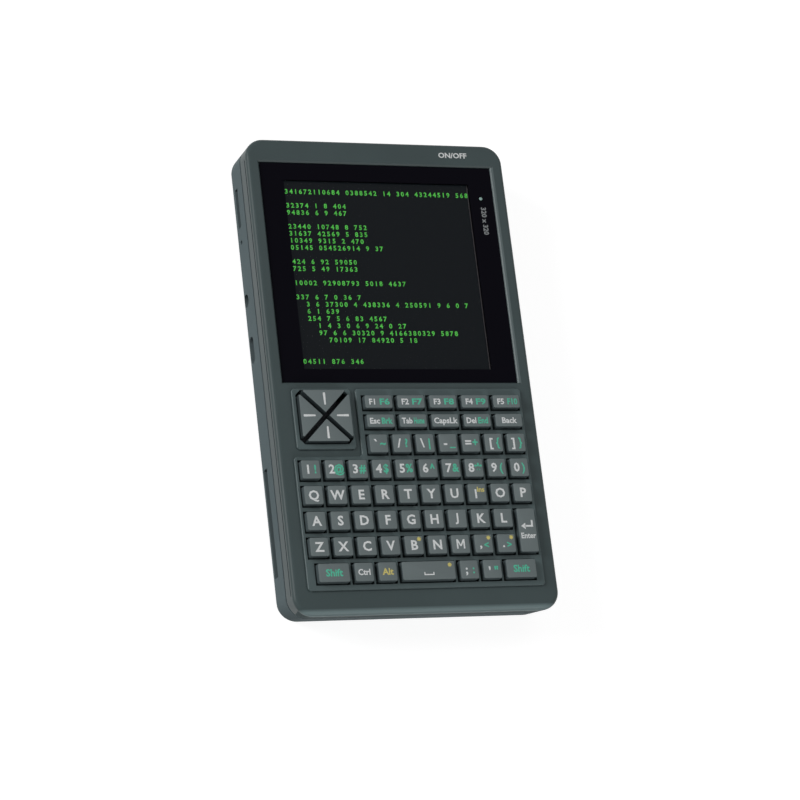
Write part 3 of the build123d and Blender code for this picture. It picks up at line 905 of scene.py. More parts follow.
class PartField:
    """Sets copies of one part on points, each with a finish for its sides and one for its top."""

    rise = 0.8
    seed = 7

    def __init__(self) -> None:
        """Makes the tree.

        Turn turns every part alike, Spin is the most that each turns of itself, and Rise is
        how far up a face must look to take the top's finish.
        """
        kinds = {
            "Part": "Object",
            "Turn": "Rotation",
            "Spin": "Float",
            "Rise": "Float",
            "Side": "Material",
            "Top": "Material",
        }
        self.group = group = NodeGroup("part_field", kinds)
        size = group.entry.outputs
        own = self._own_turn()
        turns = {0: size["Turn"], 1: own.outputs[0]}
        both = group.add("FunctionNodeRotateRotation", turns, rotation_space="LOCAL")
        links = {"Instance": self._marked().outputs[0], "Rotation": both.outputs[0]}
        links["Points"] = size["Geometry"]
        placed = group.add("GeometryNodeInstanceOnPoints", links)
        top = group.add("GeometryNodeInputNamedAttribute", {"Name": "top"}, data_type="BOOLEAN")
        coat = {"Selection": top.outputs[0], "Material": size["Top"]}
        group.end(placed, {"Material": size["Side"]}, coat)

    def _marked(self) -> bpy.types.Node:
        """Adds the part, with the faces of its top marked.

        Returns:
            The node that gives it.
        """
        group, size = self.group, self.group.entry.outputs
        part = group.add("GeometryNodeObjectInfo", {"Object": size["Part"]})
        normal = group.add("GeometryNodeInputNormal", {})
        lean = group.add("ShaderNodeSeparateXYZ", {0: normal.outputs[0]})
        sides = {0: lean.outputs["Z"], 1: size["Rise"]}
        flat = group.add("FunctionNodeCompare", sides, operation="GREATER_THAN")
        links = {"Geometry": part.outputs["Geometry"], "Name": "top", "Value": flat.outputs[0]}
        kind = {"data_type": "BOOLEAN", "domain": "FACE"}
        return group.add("GeometryNodeStoreNamedAttribute", links, **kind)

    def _own_turn(self) -> bpy.types.Node:
        """Adds the turn that each copy has of itself.

        Returns:
            The node that gives it.
        """
        group = self.group
        links = {2: 0.0, 3: group.entry.outputs["Spin"], "Seed": self.seed}
        spin = group.add("FunctionNodeRandomValue", links, data_type="FLOAT")
        about = group.add("ShaderNodeCombineXYZ", {2: spin.outputs[1]})
        return group.add("FunctionNodeEulerToRotation", {0: about.outputs[0]})

    def copies(
        self,
        part: Piece,
        points: Iterable[Place],
        side: bpy.types.Material,
        top: bpy.types.Material,
        turn: Place = (0.0, 0.0, 0.0),
        spin: float = 0.0,
    ) -> bpy.types.Mesh:
        """Sets the part on points.

        Args:
            part: The part about zero.
            points: Where its copies go, in millimetres.
            side: Finish of its sides.
            top: Finish of its top.
            turn: Turn of every copy.
            spin: The most that each copy turns of itself.

        Returns:
            One mesh of all copies, in metres.
        """
        start = bpy.data.meshes.new("points")
        start.from_pydata([tuple(v * MM for v in point) for point in points], [], [])
        original = bpy.data.objects.new(part.name, part.data())
        values = {"Part": original, "Turn": turn, "Spin": spin, "Rise": self.rise}
        data = self.group.bake(start, {**values, "Side": side, "Top": top})
        bpy.data.objects.remove(original)
        return data


def joined(name: str, parts: Iterable[bpy.types.Mesh]) -> bpy.types.Mesh:
    """Joins meshes.

    Args:
        name: Name of the joined mesh.
        parts: The meshes.

    Returns:
        One mesh of them all, without materials.
    """
    whole = bmesh.new()
    for part in parts:
        whole.from_mesh(part)
    return plain_mesh(name, whole)


@dataclass
class Box:
    """Limits of one CAD solid in millimetres."""

    low: Vector
    high: Vector

    @property
    def centre(self) -> Vector:
        """Middle of the box."""
        return (self.low + self.high) / 2

    @property
    def size(self) -> Vector:
        """Lengths of its sides."""
        return self.high - self.low


def solids(node: str) -> list[Box]:
    """Boxes of the separate solids of a CAD node, from the top row down and left to right.

    Args:
        node: Name of the CAD node.

    Returns:
        One box for each solid.
    """
    part = bmesh.new()
    part.from_mesh(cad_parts[node].data)
    bmesh.ops.remove_doubles(part, verts=part.verts[:], dist=1e-6)
    seen: set[int] = set()
    boxes = []
    for start in part.verts:
        if start.index in seen:
            continue
        seen.add(start.index)
        queue, island = [start], []
        while queue:
            vertex = queue.pop()
            island.append(vertex.co / MM)
            for link in vertex.link_edges:
                other = link.other_vert(vertex)
                if other.index not in seen:
                    seen.add(other.index)
                    queue.append(other)
        low = Vector(tuple(min(p[i] for p in island) for i in range(3)))
        high = Vector(tuple(max(p[i] for p in island) for i in range(3)))
        boxes.append(Box(low, high))
    part.free()
    return sorted(boxes, key=lambda b: (-round(b.centre.y), b.centre.x))


@dataclass(frozen=True)
class Mark:
    """One line of lettering, centred at a distance from its origin."""

    text: str
    ink: Ink = Ink.WHITE
    x: float = 0.0
    y: float = 0.0
    height: float = 3.2
    tight: float = 1.0
    cell: float = 0.0
    turn: float = 0.0


Glyph = tuple[list[Vector], list[tuple[int, ...]], float]


class GlyphCase:
    """Letters and figures that legends are set from."""

    thickness = 0.03
    weight = 0.027
    half_deep = 0.5
    narrowest = 0.5

    def __init__(self) -> None:
        """Starts with an empty case."""
        self.cut: dict[str, Glyph] = {}
        self.cap = max(point.y for point in self.glyph("H")[0])

    def glyph(self, letter: str) -> Glyph:
        """Corners, faces and advance of a letter at the font's own size.

        Args:
            letter: The letter.

        Returns:
            Its corners, its faces and its advance.
        """
        if letter not in self.cut:
            data, right = self._mesh(letter)
            advance = self._mesh(letter + "|")[1] - self._mesh("|")[1]
            points = [v.co.copy() for v in data.vertices]
            faces = [tuple(p.vertices) for p in data.polygons]
            self.cut[letter] = (points, faces, max(advance, right * self.narrowest))
        return self.cut[letter]

    def width(self, mark: Mark) -> float:
        """Natural width of a mark's text."""
        return sum(self.glyph(letter)[2] for letter in mark.text) * mark.height / self.cap

    def _mesh(self, text: str) -> tuple[bpy.types.Mesh, float]:
        """Sets a text at the font's own size.

        Args:
            text: The text.

        Returns:
            Its mesh and its right edge.
        """
        curve = bpy.data.curves.new("glyph", "FONT")
        curve.body = text
        curve.resolution_u = 2
        curve.extrude = self.half_deep
        curve.offset = self.weight
        data = settled(in_scene("glyph", curve))
        return data, max((v.co.x for v in data.vertices), default=0.0)

    def set(self, piece: Piece, mark: Mark, origin: Place) -> None:
        """Sets a mark on a piece.

        Args:
            piece: The piece that takes it.
            mark: The mark.
            origin: Where the mark is placed from, with the height of the surface under it.
        """
        rise = mark.height / self.cap
        across = rise * mark.tight
        steps = [mark.cell or self.glyph(letter)[2] * across for letter in mark.text]
        spin = Matrix.Rotation(math.radians(mark.turn), 2)
        middle = Vector(origin[:2]) + Vector((mark.x, mark.y))
        left = -sum(steps) / 2
        for letter, step in zip(mark.text, steps):
            points, faces, _ = self.glyph(letter)
            start = left
            if mark.cell and points:
                reach = [p.x * across for p in points]
                start += (step - min(reach) - max(reach)) / 2
            made = []
            for p in points:
                flat = Vector((start + p.x * across, p.y * rise - mark.height / 2))
                flat = middle + spin @ flat
                height = origin[2] + (p.z + self.half_deep) * self.thickness
                made.append(piece.mesh.verts.new((flat.x, flat.y, height)))
            for corners in faces:
                piece.mesh.faces.new([made[i] for i in corners]).material_index = mark.ink.value
            left += step


@dataclass(frozen=True)
class Shape:
    """A small printed shape about zero, with its place from the middle of its key."""

    outline: tuple[Point2, ...]
    x: float = 0.0
    y: float = 0.0
    ink: Ink = Ink.WHITE
    drop: float = 0.0


Legend = list[Union[Mark, Shape]]


def sun(x: float, y: float) -> Shape:
    """Draws the small sun that some keys bear.

    Args:
        x: Its place across from the middle of the key.
        y: Its place up from there.

    Returns:
        The shape.
    """
    outer, inner, corners = 0.9, 0.55, 16
    turns = [2 * math.pi * i / corners for i in range(corners)]
    radii = [inner if i % 2 else outer for i in range(corners)]
    outline = ((r * math.cos(t), r * math.sin(t)) for r, t in zip(radii, turns))
    return Shape(tuple(outline), x, y, Ink.YELLOW)


@dataclass
class Keyboard:
    """Keycaps and their legends."""

    finish: dict[str, bpy.types.Material]
    glyphs: GlyphCase
    field: PartField
    reach: float = 0.90
    corner: float = 0.75
    edge: float = 0.3
    draft: float = 0.14
    flange_low: float = 1.05
    flange_high: float = 2.05
    word_room: float = 4.0

    letters = "qwertyuiopasdfghjklzxcvbnm"
    # the strokes of the M overlap, so each lies a little lower than the one before it
    m_strokes = (
        Shape(((-1.55, -1.7), (-1.0, -1.7), (-1.0, 1.7), (-1.55, 1.7))),
        Shape(((1.0, -1.7), (1.55, -1.7), (1.55, 1.7), (1.0, 1.7)), drop=0.003),
        Shape(((-0.28, -0.8), (0.3, -0.8), (-0.95, 1.69), (-1.54, 1.69)), drop=0.006),
        Shape(((-0.3, -0.79), (0.28, -0.79), (1.54, 1.68), (0.95, 1.68)), drop=0.009),
    )
    odd_letters = {
        "b": (Mark("B", height=3.4), sun(2.0, 2.1)),
        "i": (Mark("I", x=-0.6, y=-0.3), Mark("Ins", Ink.YELLOW, x=1.35, y=1.3, height=1.8)),
        "j": (Mark("J", y=0.45, height=3.0),),
        "m": m_strokes,
    }
    digits = "1234567890"
    shifted = "!@#$%^&*()"
    symbols = ("`~", "/?", "\\|", "-_", "=+", "[{", "]}")
    functions = 5
    editing = (("Esc", "Brk"), ("Tab", "Home"), ("CapsLk", ""), ("Del", "End"), ("Back", ""))
    quotes = (Mark("'", x=-1.1, y=-0.8), Mark('"', Ink.GREEN, x=1.4, y=-0.7))
    held = (
        Mark("Shift", Ink.GREEN, height=2.5),
        Mark("Ctrl", height=2.1, tight=0.95),
        Mark("Alt", Ink.YELLOW, height=2.3),
        Mark("Shift", Ink.GREEN, height=2.5),
    )
    enter = (
        Mark("Enter", y=-2.0, height=2.0, tight=0.92),
        Shape(tuple(rectangle(1.6, 0.34)), x=0.65, y=1.475),
        Shape(tuple(rectangle(0.34, 0.9)), x=1.91, y=2.72),
        Shape(((-0.9, 0.0), (0.8, -1.18), (0.8, 1.18)), x=-1.5, y=1.475),
    )
    space = (
        Shape(tuple(rectangle(1.9, 0.2)), y=-1.5),
        Shape(tuple(rectangle(0.2, 0.35)), x=-1.7, y=-0.95),
        Shape(tuple(rectangle(0.2, 0.35)), x=1.7, y=-0.95),
        sun(8.0, 1.9),
    )

    def build(self) -> None:
        """Makes every key and legend."""
        for letter in self.letters:
            plain = (Mark(letter.upper(), height=3.4),)
            self._key("key_" + letter, [self.odd_letters.get(letter, plain)])
        self._key("digit_keys", [self._pair(a, b) for a, b in zip(self.digits, self.shifted)])
        self._key("symbol_keys", [self._pair(*pair) for pair in self.symbols])
        names = [(f"F{i}", f"F{i + self.functions}") for i in range(1, self.functions + 1)]
        self._key("function_keys", [self._small(*pair) for pair in names])
        self._key("editing_keys", [self._small(*pair) for pair in self.editing])
        stops = [self._stop(",", "<"), self._stop(".", ">")]
        self._key("punctuation_keys", [*stops, self._pair(";", ":"), self.quotes])
        self._key("modifier_keys", [[mark] for mark in self.held])
        self._key("key_enter", [self.enter])
        self._key("key_space", [self.space])

    @staticmethod
    def _pair(first: str, second: str) -> Legend:
        """Lays out a white mark at the left and a green one at the right.

        Args:
            first: The white mark.
            second: The green mark. A star is a small figure high up, so it is set larger.

        Returns:
            The legend.
        """
        right = Mark(second, Ink.GREEN, x=1.55, y=0.15, height=3.0, tight=0.9)
        if second == "*":
            right = Mark(second, Ink.GREEN, x=1.55, y=-0.8, height=4.6)
        return [Mark(first, x=-1.1, y=0.1), right]

    @staticmethod
    def _stop(first: str, second: str) -> Legend:
        """White mark low at the left, a green one at the right and a sun."""
        right = Mark(second, Ink.GREEN, x=1.0, y=-0.5, height=2.4)
        return [Mark(first, x=-1.15, y=0.2), right, sun(2.0, 2.1)]

    def _small(self, first: str, second: str) -> Legend:
        """Lays out a small key, each word drawn in to the room it has.

        Args:
            first: The white word.
            second: The green word, or nothing.

        Returns:
            The legend.
        """
        if not second:
            return [Mark(first, height=2.1)]
        right = Mark(second, Ink.GREEN, x=2.2, height=2.2, tight=1.35)
        marks = [Mark(first, x=-2.3, height=2.1), right]
        fits = [self.word_room / self.glyphs.width(mark) for mark in marks]
        return [replace(mark, tight=min(mark.tight, fit)) for mark, fit in zip(marks, fits)]

    def _key(self, node: str, legends: Iterable[Iterable[Union[Mark, Shape]]]) -> None:
        """Makes the caps of one node and the legends on them.

        Args:
            node: The CAD node.
            legends: Legends of each cap, in reading order.
        """
        boxes = solids(node)
        self._caps(node, boxes)
        inks = (self.finish[ink.name.lower() + "_ink"] for ink in Ink)
        legend = Piece("legend_" + node, *inks)
        for box, marks in zip(boxes, legends):
            origin = (box.centre.x, box.centre.y, box.high.z - self.glyphs.thickness)
            for mark in marks:
                if isinstance(mark, Shape):
                    self._shape(legend, mark, origin)
                else:
                    self.glyphs.set(legend, mark, origin)
        legend.finish(node, "key_plastic")

    def _caps(self, node: str, boxes: list[Box]) -> None:
        """Sets one cap for each size of key on the places of its keys.

        Args:
            node: The CAD node.
            boxes: Boxes of its keys.
        """
        kinds: dict[Point2, list[Box]] = {}
        for box in boxes:
            kinds.setdefault((round(box.size.x, 2), round(box.size.y, 2)), []).append(box)
        # the sides take the darker copy as painted shade, the tops take the key plastic
        materials = [self.finish["key_base"], self.finish["key_plastic"]]
        parts = []
        for group in kinds.values():
            places = ((b.centre.x, b.centre.y, b.low.z) for b in group)
            parts.append(self.field.copies(self._cap(group[0]), places, *materials))
        name = "cap_" + node
        dress_piece(name, joined(name, parts), materials, node, "key_plastic", [node])

    def _cap(self, box: Box) -> Piece:
        """Makes a cap with the flange that holds it in the shell.

        Args:
            box: Box of its key.

        Returns:
            The cap about zero.
        """
        half_x, half_y = box.size.x / 2, box.size.y / 2
        cap = Piece("cap")
        outline = rounded(rectangle(half_x, half_y - self.reach), self.corner)
        cap.block(outline, 0.0, box.size.z - self.glyphs.thickness, self.edge, self.draft)
        cap.box((-half_x, -half_y, self.flange_low), (half_x, half_y, self.flange_high))
        return cap

    def _shape(self, piece: Piece, shape: Shape, origin: Place) -> None:
        """Adds a printed shape.

        Args:
            piece: The legend piece.
            shape: The shape.
            origin: Middle of the key and height of its face.
        """
        moved = [(origin[0] + shape.x + x, origin[1] + shape.y + y) for x, y in shape.outline]
        low = origin[2] - shape.drop
        piece.block(moved, low, low + self.glyphs.thickness, slot=shape.ink.value)


@dataclass
class ArrowPad:
    """The four wedge keys of the arrow pad."""

    finish: dict[str, bpy.types.Material]
    field: PartField
    edge: float = 0.25
    corner: float = 0.3
    reach: float = 0.90
    bar: Point2 = (0.9, 4.5)
    bar_narrow: float = 2 / 3
    bar_place: float = 6.2
    bar_round: float = 0.6
    flange: tuple[float, float, float] = (0.14, 1.05, 2.05)
    flange_in: float = 0.6
    bar_thick: float = 0.03

    turns = {"key_up": 0, "key_left": 90, "key_down": 180, "key_right": 270}

    def build(self) -> None:
        """Makes the wedges and their bars."""
        up = solids("key_up")[0]
        down = solids("key_down")[0]
        centre = (up.centre.x, (up.high.y + down.low.y) / 2, up.low.z)
        # the wedges' sides take the darker copy as painted shade, the tops the key plastic
        plastic = self.finish["pad_base"], self.finish["key_plastic"]
        ink = (self.finish["white_ink"],) * 2
        for node, degrees in self.turns.items():
            turn = (0.0, 0.0, math.radians(degrees))
            cap = self.field.copies(self._wedge(up, centre), [centre], *plastic, turn)
            dress_piece("cap_" + node, cap, (), node, "key_plastic", [node])
            bar = self.field.copies(self._bar(up.size.z), [centre], *ink, turn)
            dress_piece("legend_" + node, bar, (), node, "key_plastic")

    def _wedge(self, up: Box, centre: Place) -> Piece:
        """Makes the upper wedge.

        Args:
            up: Box of the upper wedge.
            centre: Middle of the pad.

        Returns:
            The wedge, about the middle of the pad.
        """
        far = up.high.y - centre[1]
        outer = far - self.reach
        half = up.size.x / 2
        tip = up.low.y - centre[1]
        trim, low, high = self.flange
        foot = [(0.0, tip), (half, tip + half), (half, outer)]
        foot += [(-half, outer), (-half, tip + half)]
        cap = Piece("wedge")
        cap.block(rounded(foot, self.corner), 0.0, up.size.z - self.bar_thick, self.edge)
        cap.box((trim - half, outer - self.flange_in, low), (half - trim, far, high))
        return cap

    def _bar(self, top: float) -> Piece:
        """Makes the printed bar of the upper wedge, narrow towards the middle.

        Args:
            top: Height of the wedge.

        Returns:
            The bar, about the middle of the pad.
        """
        half, long = self.bar[0] / 2, self.bar[1]
        near, far = self.bar_place - long / 2, self.bar_place + long / 2
        thin = half * self.bar_narrow
        bar = Piece("bar")
        outline = [(-thin, near), (thin, near), (half, far), (-half, far)]
        bar.block(rounded(outline, half * self.bar_round), top - self.bar_thick, top)
        return bar


@dataclass
class Screen:
    """Lit face behind the cover glass, its rows of numbers, the lamp and the marks."""

    finish: dict[str, bpy.types.Material]
    glyphs: GlyphCase
    face_z: float = 22.0
    rows: float = 26.67
    columns: int = 40
    height: float = 1.75
    seed: int = 4
    lamp_radius: float = 0.62
    lamp_collar: float = 0.7
    lamp_foot: float = 0.05
    lamp_dome: float = 0.14
    lamp_turns: tuple[float, ...] = (0.0, 0.4, 0.8, 1.2, 1.5)
    film: float = 0.03
    film_gap: float = 0.02
    edge_light: float = 0.35
    recess: float = 0.8
    rim_foot: float = 0.55
    rim_radius: float = 1.46
    rim_steep: float = 65.0
    rim_steps: int = 4
    rim_step: float = 12.5
    rim_over: float = 0.65
    rim_past: float = 0.3
    rim_sunk: float = 0.2
    rim_under: float = 0.005

    # line, first column and lengths of the groups of figures
    layout = (
        (1, 0, (12, 7, 2, 3, 8, 3)),
        (3, 0, (5, 1, 1, 3)),
        (4, 0, (5, 1, 1, 3)),
        (6, 0, (5, 5, 1, 3)),
        (7, 0, (5, 5, 1, 3)),
        (8, 0, (5, 4, 1, 3)),
        (9, 0, (5, 9, 1, 2)),
        (11, 0, (3, 1, 2, 5)),
        (12, 0, (3, 1, 2, 5)),
        (14, 0, (5, 8, 4, 4)),
        (16, 0, (3, 1, 1, 1, 2, 1)),
        (17, 2, (1, 1, 5, 1, 6, 1, 6, 1, 1, 1, 1)),
        (18, 2, (1, 1, 3)),
        (19, 2, (3, 1, 1, 1, 2, 4)),
        (20, 4, (1, 1, 1, 1, 1, 1, 2, 1, 2)),
        (21, 4, (2, 1, 1, 5, 1, 10, 4)),
        (22, 6, (5, 2, 5, 1, 2)),
        (25, 0, (5, 3, 3)),
    )

    def build(self) -> None:
        """Makes everything behind and on the cover glass."""
        lens = solids("screen_lens")[0]
        lamp = solids("status_lamp")[0]
        self._face(lens)
        self._rim(lens)
        self._numbers(lens)
        self._lamp(lamp, lens)
        self._marks(lens, lamp)

    def _face(self, lens: Box) -> None:
        """Makes the lit face, and a light strip at its right edge: a painted highlight of the
        window's lit right wall.

        Args:
            lens: Box of the cover glass.
        """
        x, y = SCREEN_CENTRE
        half = SCREEN_SIDE / 2
        low = lens.low.z + self.film_gap
        middle, high = low + self.film, low + 2 * self.film
        face = Piece("screen_face", self.finish["screen_face"])
        face.box((x - half, y - half, low), (x + half, y + half, middle))
        face.finish(ROOT, "display_layers")
        # painted highlight: a light strip along the right edge of the face
        rim = Piece("screen_rim", self.finish["screen_rim"])
        rim.box((x + half - self.edge_light, y - half, middle), (x + half, y + half, high))
        rim.finish(ROOT, "display_layers")

    def _rim(self, lens: Box) -> None:
        """Rounds the front shell's edge along the glass's right side, lighter: a painted
        highlight.

        Args:
            lens: Box of the cover glass.
        """
        foot_x, foot_z = lens.high.x - self.rim_foot, self.face_z - self.recess
        low = foot_z - self.rim_sunk
        profile = [(foot_x, low)]
        steep = math.radians(self.rim_steep)
        for step in range(self.rim_steps + 1):
            turn = math.radians(self.rim_steep - self.rim_step * step)
            along = self.rim_radius * (math.sin(steep) - math.sin(turn))
            up = self.rim_radius * (math.cos(turn) - math.cos(steep))
            profile.append((foot_x + along, foot_z + up))
        outer = lens.high.x + self.rim_over
        profile += [(outer, self.face_z - self.rim_under), (outer, low)]
        ends = (lens.low.y - self.rim_past, lens.high.y + self.rim_past)
        rim = Piece("window_rim", self.finish["rim_plastic"])
        rim.skin([[(x, y, z) for x, z in profile] for y in ends])
        rim.finish(ROOT, "front_shell")

    def _numbers(self, lens: Box) -> None:
        """Sets rows of plain numbers in evenly spaced figures.

        Args:
            lens: Box of the cover glass.
        """
        text = Piece("screen_numbers", self.finish["screen_pixels"])
        cell = SCREEN_SIDE / self.columns
        row = SCREEN_SIDE / self.rows
        figures = random.Random(self.seed)
        left, top = SCREEN_CENTRE[0] - SCREEN_SIDE / 2, SCREEN_CENTRE[1] + SCREEN_SIDE / 2
        origin = (left, top, lens.low.z + 2 * self.film)
        for line, start, groups in self.layout:
            y = -(line + 0.5) * row
            for length in groups:
                word = "".join(figures.choice("0123456789") for _ in range(length))
                x = (start + length / 2) * cell
                self.glyphs.set(text, Mark(word, x=x, y=y, height=self.height, cell=cell), origin)
                start += length + 1
        text.finish(ROOT, "display_layers")

    def _lamp(self, lamp: Box, lens: Box) -> None:
        """Makes the light guide with its collar and its dome.

        Args:
            lamp: Box of the CAD light guide.
            lens: Box of the cover glass.
        """
        bottom, collar = lamp.low.z, lamp.low.z + self.lamp_collar
        neck, spring = self.lamp_radius, lens.high.z - self.lamp_foot
        dome = [
            (neck * math.cos(turn), spring + self.lamp_dome * math.sin(turn))
            for turn in self.lamp_turns
        ]
        foot = [(lamp.size.x / 2, z) for z in (bottom, collar)]
        guide = Piece("lamp_guide", self.finish["lamp_guide"])
        guide.revolve([*foot, (neck, collar), *dome], tuple(lamp.centre[:2]))
        guide.finish(ROOT, "light_guide", ["status_lamp"])

    def _marks(self, lens: Box, lamp: Box) -> None:
        """Sets the plain upright numbers beside the screen and the word at the power button.

        Args:
            lens: Box of the cover glass.
            lamp: Box of the CAD light guide.
        """
        marks = Piece("side_marks", self.finish["grey_ink"])
        beside = Mark("320 x 320", x=0.5, y=-8.8, height=1.9, turn=-90)
        self.glyphs.set(marks, beside, (lamp.centre.x, lamp.centre.y, lens.high.z))
        marks.finish(ROOT, "screen_glass")
        button = solids("power_button")[0]
        word = Piece("power_word", self.finish["white_ink"])
        switch = Mark("ON/OFF", y=-4.2, height=2.0, tight=1.1)
        self.glyphs.set(word, switch, (button.centre.x, button.high.y, self.face_z))
        word.finish(ROOT, "front_shell")


@dataclass
class Fasteners:
    """Case screws and board screws with threads and cross recesses."""

    finish: dict[str, bpy.types.Material]
    field: PartField
    recess: float = 1.7
    recess_floor: float = 0.7
    slot: float = 0.42
    depth: float = 0.7
    core: float = 0.86
    thread: float = 1.0
    thread_pitch: float = 0.4
    crest: float = 0.1
    root: float = 0.22
    plain_end: float = 0.6
    point: float = 0.3
    longest_board_screw: float = 8.0
    # shares of the head's radius, with their heights
    head_edge: tuple[Point2, ...] = ((0.82, 0.0), (0.96, 0.12), (1.0, 0.4))

    # node, name of the piece and height of the heads
    sets = (("case_screws", "case_screw_set", 1.6), ("board_screws", "board_screw_set", 1.4))

    def build(self) -> None:
        """Makes both sets of screws."""
        for node, name, head in self.sets:
            self._set(node, name, head)

    def _set(self, node: str, name: str, head: float) -> None:
        """Makes one node's screws.

        Args:
            node: The CAD node.
            name: Name of the piece.
            head: Height of the screw heads.
        """
        board_top = solids("processor_module")[0].low.z
        steel = self.finish["screw_steel"]
        facing: dict[bool, list[Box]] = {True: [], False: []}
        for box in solids(node):
            upward = box.size.z > self.longest_board_screw or box.low.z > board_top
            facing[upward].append(box)
        parts = []
        for upward, group in facing.items():
            if group:
                places = [(b.centre.x, b.centre.y, b.low.z if upward else b.high.z) for b in group]
                turn = (0.0 if upward else math.pi, 0.0, 0.0)
                screw = self._screw(group[0], head)
                parts.append(self.field.copies(screw, places, steel, steel, turn, math.pi))
        dress_piece(name, joined(name, parts), [steel], ROOT, "screw_steel", [node])

    def _screw(self, box: Box, head: float) -> Piece:
        """Makes one screw.

        Args:
            box: Box of the CAD screw.
            head: Height of its head.

        Returns:
            The screw about zero, with its head down.
        """
        wide, end = box.size.x / 2, box.size.z
        profile = [(wide * share, z) for share, z in self.head_edge]
        profile += [(wide, head), (self.thread, head)]
        z = head
        while z < end - self.plain_end:
            profile += [(self.thread, z + self.crest), (self.core, z + self.root)]
            z += self.thread_pitch
        profile += [(self.core, end - self.point), (self.core / 2, end)]
        arm, half = self.recess / 2, self.slot / 2
        cross = []
        for quarter in range(4):
            turn = Matrix.Rotation(math.pi / 2 * quarter, 2)
            corners = ((arm, 0.0), (arm, half), (half, half), (half, arm))
            cross += [turn @ Vector(corner) for corner in corners]
        recess = ((self.recess_floor, self.depth), (1.0, 0.0))
        rings = [[(p.x * share, p.y * share, z) for p in cross] for share, z in recess]
        rings += [[(x, y, z) for x, y in circle(radius, len(cross))] for radius, z in profile]
        piece = Piece("screw")
        piece.skin(rings)
        return piece


@dataclass(frozen=True)
class Contacts:
    """One row of gilt contacts inside a socket of a CAD node."""

    node: str
    name: str
    slot: str
    count: int
    pitch: float
    inside: float
    lift: float
    blade: Place


@dataclass
class Sockets:
    """Gilt contacts inside the side openings."""

    finish: dict[str, bpy.types.Material]

    rows = (
        Contacts(
            "expansion_header",
            "header_contacts",
            "socket_plastic",
            count=15,
            pitch=2.54,
            inside=1.4,
            lift=0.0,
            blade=(2.4, 0.5, 0.28),
        ),
        Contacts(
            "usb_port",
            "charge_contacts",
            "socket_metal",
            count=8,
            pitch=0.7,
            inside=2.6,
            lift=0.36,
            blade=(3.0, 0.34, 0.04),
        ),
    )

    def build(self) -> None:
        """Makes the contacts of the long socket and of the charging socket."""
        tree = contact_row()
        for row in self.rows:
            box = solids(row.node)[0]
            first = box.centre.y - (row.count - 1) / 2 * row.pitch
            start = (box.low.x + row.inside, first, box.centre.z + row.lift)
            sizes = {"Start": start, "Pitch": (0.0, row.pitch, 0.0), "Blade": row.blade}
            values = {key: tuple(v * MM for v in item) for key, item in sizes.items()}
            values.update({"Count": row.count, "Material": self.finish["gold_contact"]})
            data = tree.bake(bpy.data.meshes.new("start"), values)
            dress_piece(row.name, data, (), ROOT, row.slot)


@dataclass
class Shells:
    """Finishes of the CAD nodes that show as they are."""

    finish: dict[str, bpy.types.Material]

    choice = {
        "front_case": "front_plastic",
        "rear_case": "rear_plastic",
        "power_button": "button_plastic",
        "screen_lens": "cover_glass",
        "display_panel": "black_plastic",
        "display_frame": "pressed_steel",
        "display_cable": "cable_film",
        "keypad_mat": "mat_rubber",
        "keypad_board": "board_mask",
        "board_link": "black_plastic",
        "main_board": "board_mask",
        "processor_module": "module_mask",
        "battery_pack": "pouch_foil",
        "speakers": "speaker_surround",
        "card_socket": "pressed_steel",
        "usb_port": "pressed_steel",
        "audio_jack": "black_plastic",
        "expansion_header": "black_plastic",
        "power_switch": "pressed_steel",
    }

    def build(self) -> None:
        """Dresses each node."""
        for node, name in self.choice.items():
            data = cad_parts[node].data
            data.materials.clear()
            data.materials.append(self.finish[name])
            log.info("%s wears %s", node, name)


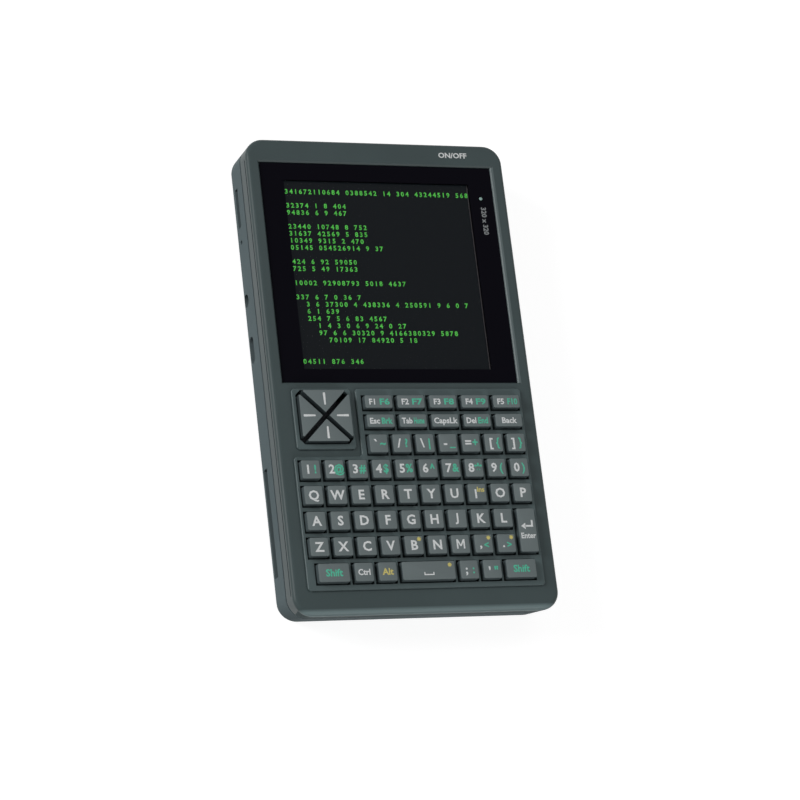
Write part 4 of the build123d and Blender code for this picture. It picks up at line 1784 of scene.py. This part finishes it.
@dataclass
class Studio:
    """Floor, light and camera."""

    place: Place = (-391.1, -318.1, 968.8)
    right: Place = (0.93139, -0.11397, 0.34572)
    up: Place = (0.00151, 0.95092, 0.30943)
    back: Place = (-0.36402, -0.28768, 0.88585)
    lens: float = 135.0
    floor_drop: float = 0.1 * MM
    floor_reach: float = 6.0
    floor_grey: float = 0.34
    floor_glow: float = 0.86
    grey: float = 0.15

    # name, place and width in metres, and power in watts
    lamps = (
        ("key_light", (-1.9, 0.6, 1.0), 1.2, 36.0),
        ("top_light", (0.3, 0.9, 2.2), 1.6, 5.0),
        ("front_light", (0.8, -1.8, 1.2), 1.0, 16.0),
    )

    def build(self) -> None:
        """Makes the stage."""
        self._camera()
        self._floor()
        self._sky()
        for lamp in self.lamps:
            self._lamp(*lamp)
        bpy.context.scene.view_settings.view_transform = "Standard"

    def _camera(self) -> None:
        """Sets the camera where the photo was taken from."""
        data = bpy.data.cameras.new("camera")
        data.lens = self.lens
        data.sensor_width = 36.0
        data.sensor_fit = "HORIZONTAL"
        data.clip_end = 20.0
        camera = in_scene("camera", data)
        turn = Matrix((self.right, self.up, self.back)).transposed().to_4x4()
        camera.matrix_world = Matrix.Translation(Vector(self.place) * MM) @ turn
        bpy.context.scene.camera = camera

    def _floor(self) -> None:
        """Lays a pale floor that keeps the shadow."""
        graph = Graph(bpy.data.materials.new("pale_floor"))
        paint = {"Color": (self.floor_grey,) * 3 + (1,)}
        dull = graph.add("ShaderNodeBsdfDiffuse", inputs=paint)
        light = {"Color": (1, 1, 1, 1), "Strength": self.floor_glow}
        glow = graph.add("ShaderNodeEmission", inputs=light)
        white = graph.add("ShaderNodeAddShader", inputs={0: dull, 1: glow})
        data = bpy.data.meshes.new("floor")
        corners = rectangle(self.floor_reach, self.floor_reach)
        data.from_pydata([(x, y, -self.floor_drop) for x, y in corners], [], [(0, 1, 2, 3)])
        data.materials.append(graph.finish(graph.choose(graph.seen(), dull, white)))
        floor = in_scene("floor", data)

    def _sky(self) -> None:
        """Sets a soft pale surround that is white to the camera."""
        graph = Graph(bpy.data.worlds.new("studio"))
        colours = [{"Color": (level,) * 3 + (1,), "Strength": 1.0} for level in (self.grey, 1.0)]
        soft, white = (graph.add("ShaderNodeBackground", inputs=colour) for colour in colours)
        bpy.context.scene.world = graph.finish(graph.choose(graph.seen(), soft, white))

    @staticmethod
    def _lamp(name: str, place: Place, wide: float, power: float) -> None:
        """Adds one soft lamp that points at the terminal.

        Args:
            name: Name of the lamp.
            place: Where it hangs, in metres.
            wide: Its width.
            power: Its power in watts.
        """
        data = bpy.data.lights.new(name, "AREA")
        data.shape = "DISK"
        data.size = wide
        data.energy = power
        spot = Vector(place)
        aim = (-spot).to_track_quat("-Z", "Y").to_matrix().to_4x4()
        in_scene(name, data).matrix_world = Matrix.Translation(spot) @ aim


def main() -> None:
    """Builds and dresses the terminal."""
    logging.basicConfig(level=logging.INFO, format="%(message)s")
    finish = finishes()
    glyphs = GlyphCase()
    field = PartField()
    makers = (
        Shells(finish),
        Keyboard(finish, glyphs, field),
        ArrowPad(finish, field),
        Screen(finish, glyphs),
        Fasteners(finish, field),
        Sockets(finish),
        Studio(),
    )
    for maker in makers:
        maker.build()


if __name__ == "__main__":
    main()
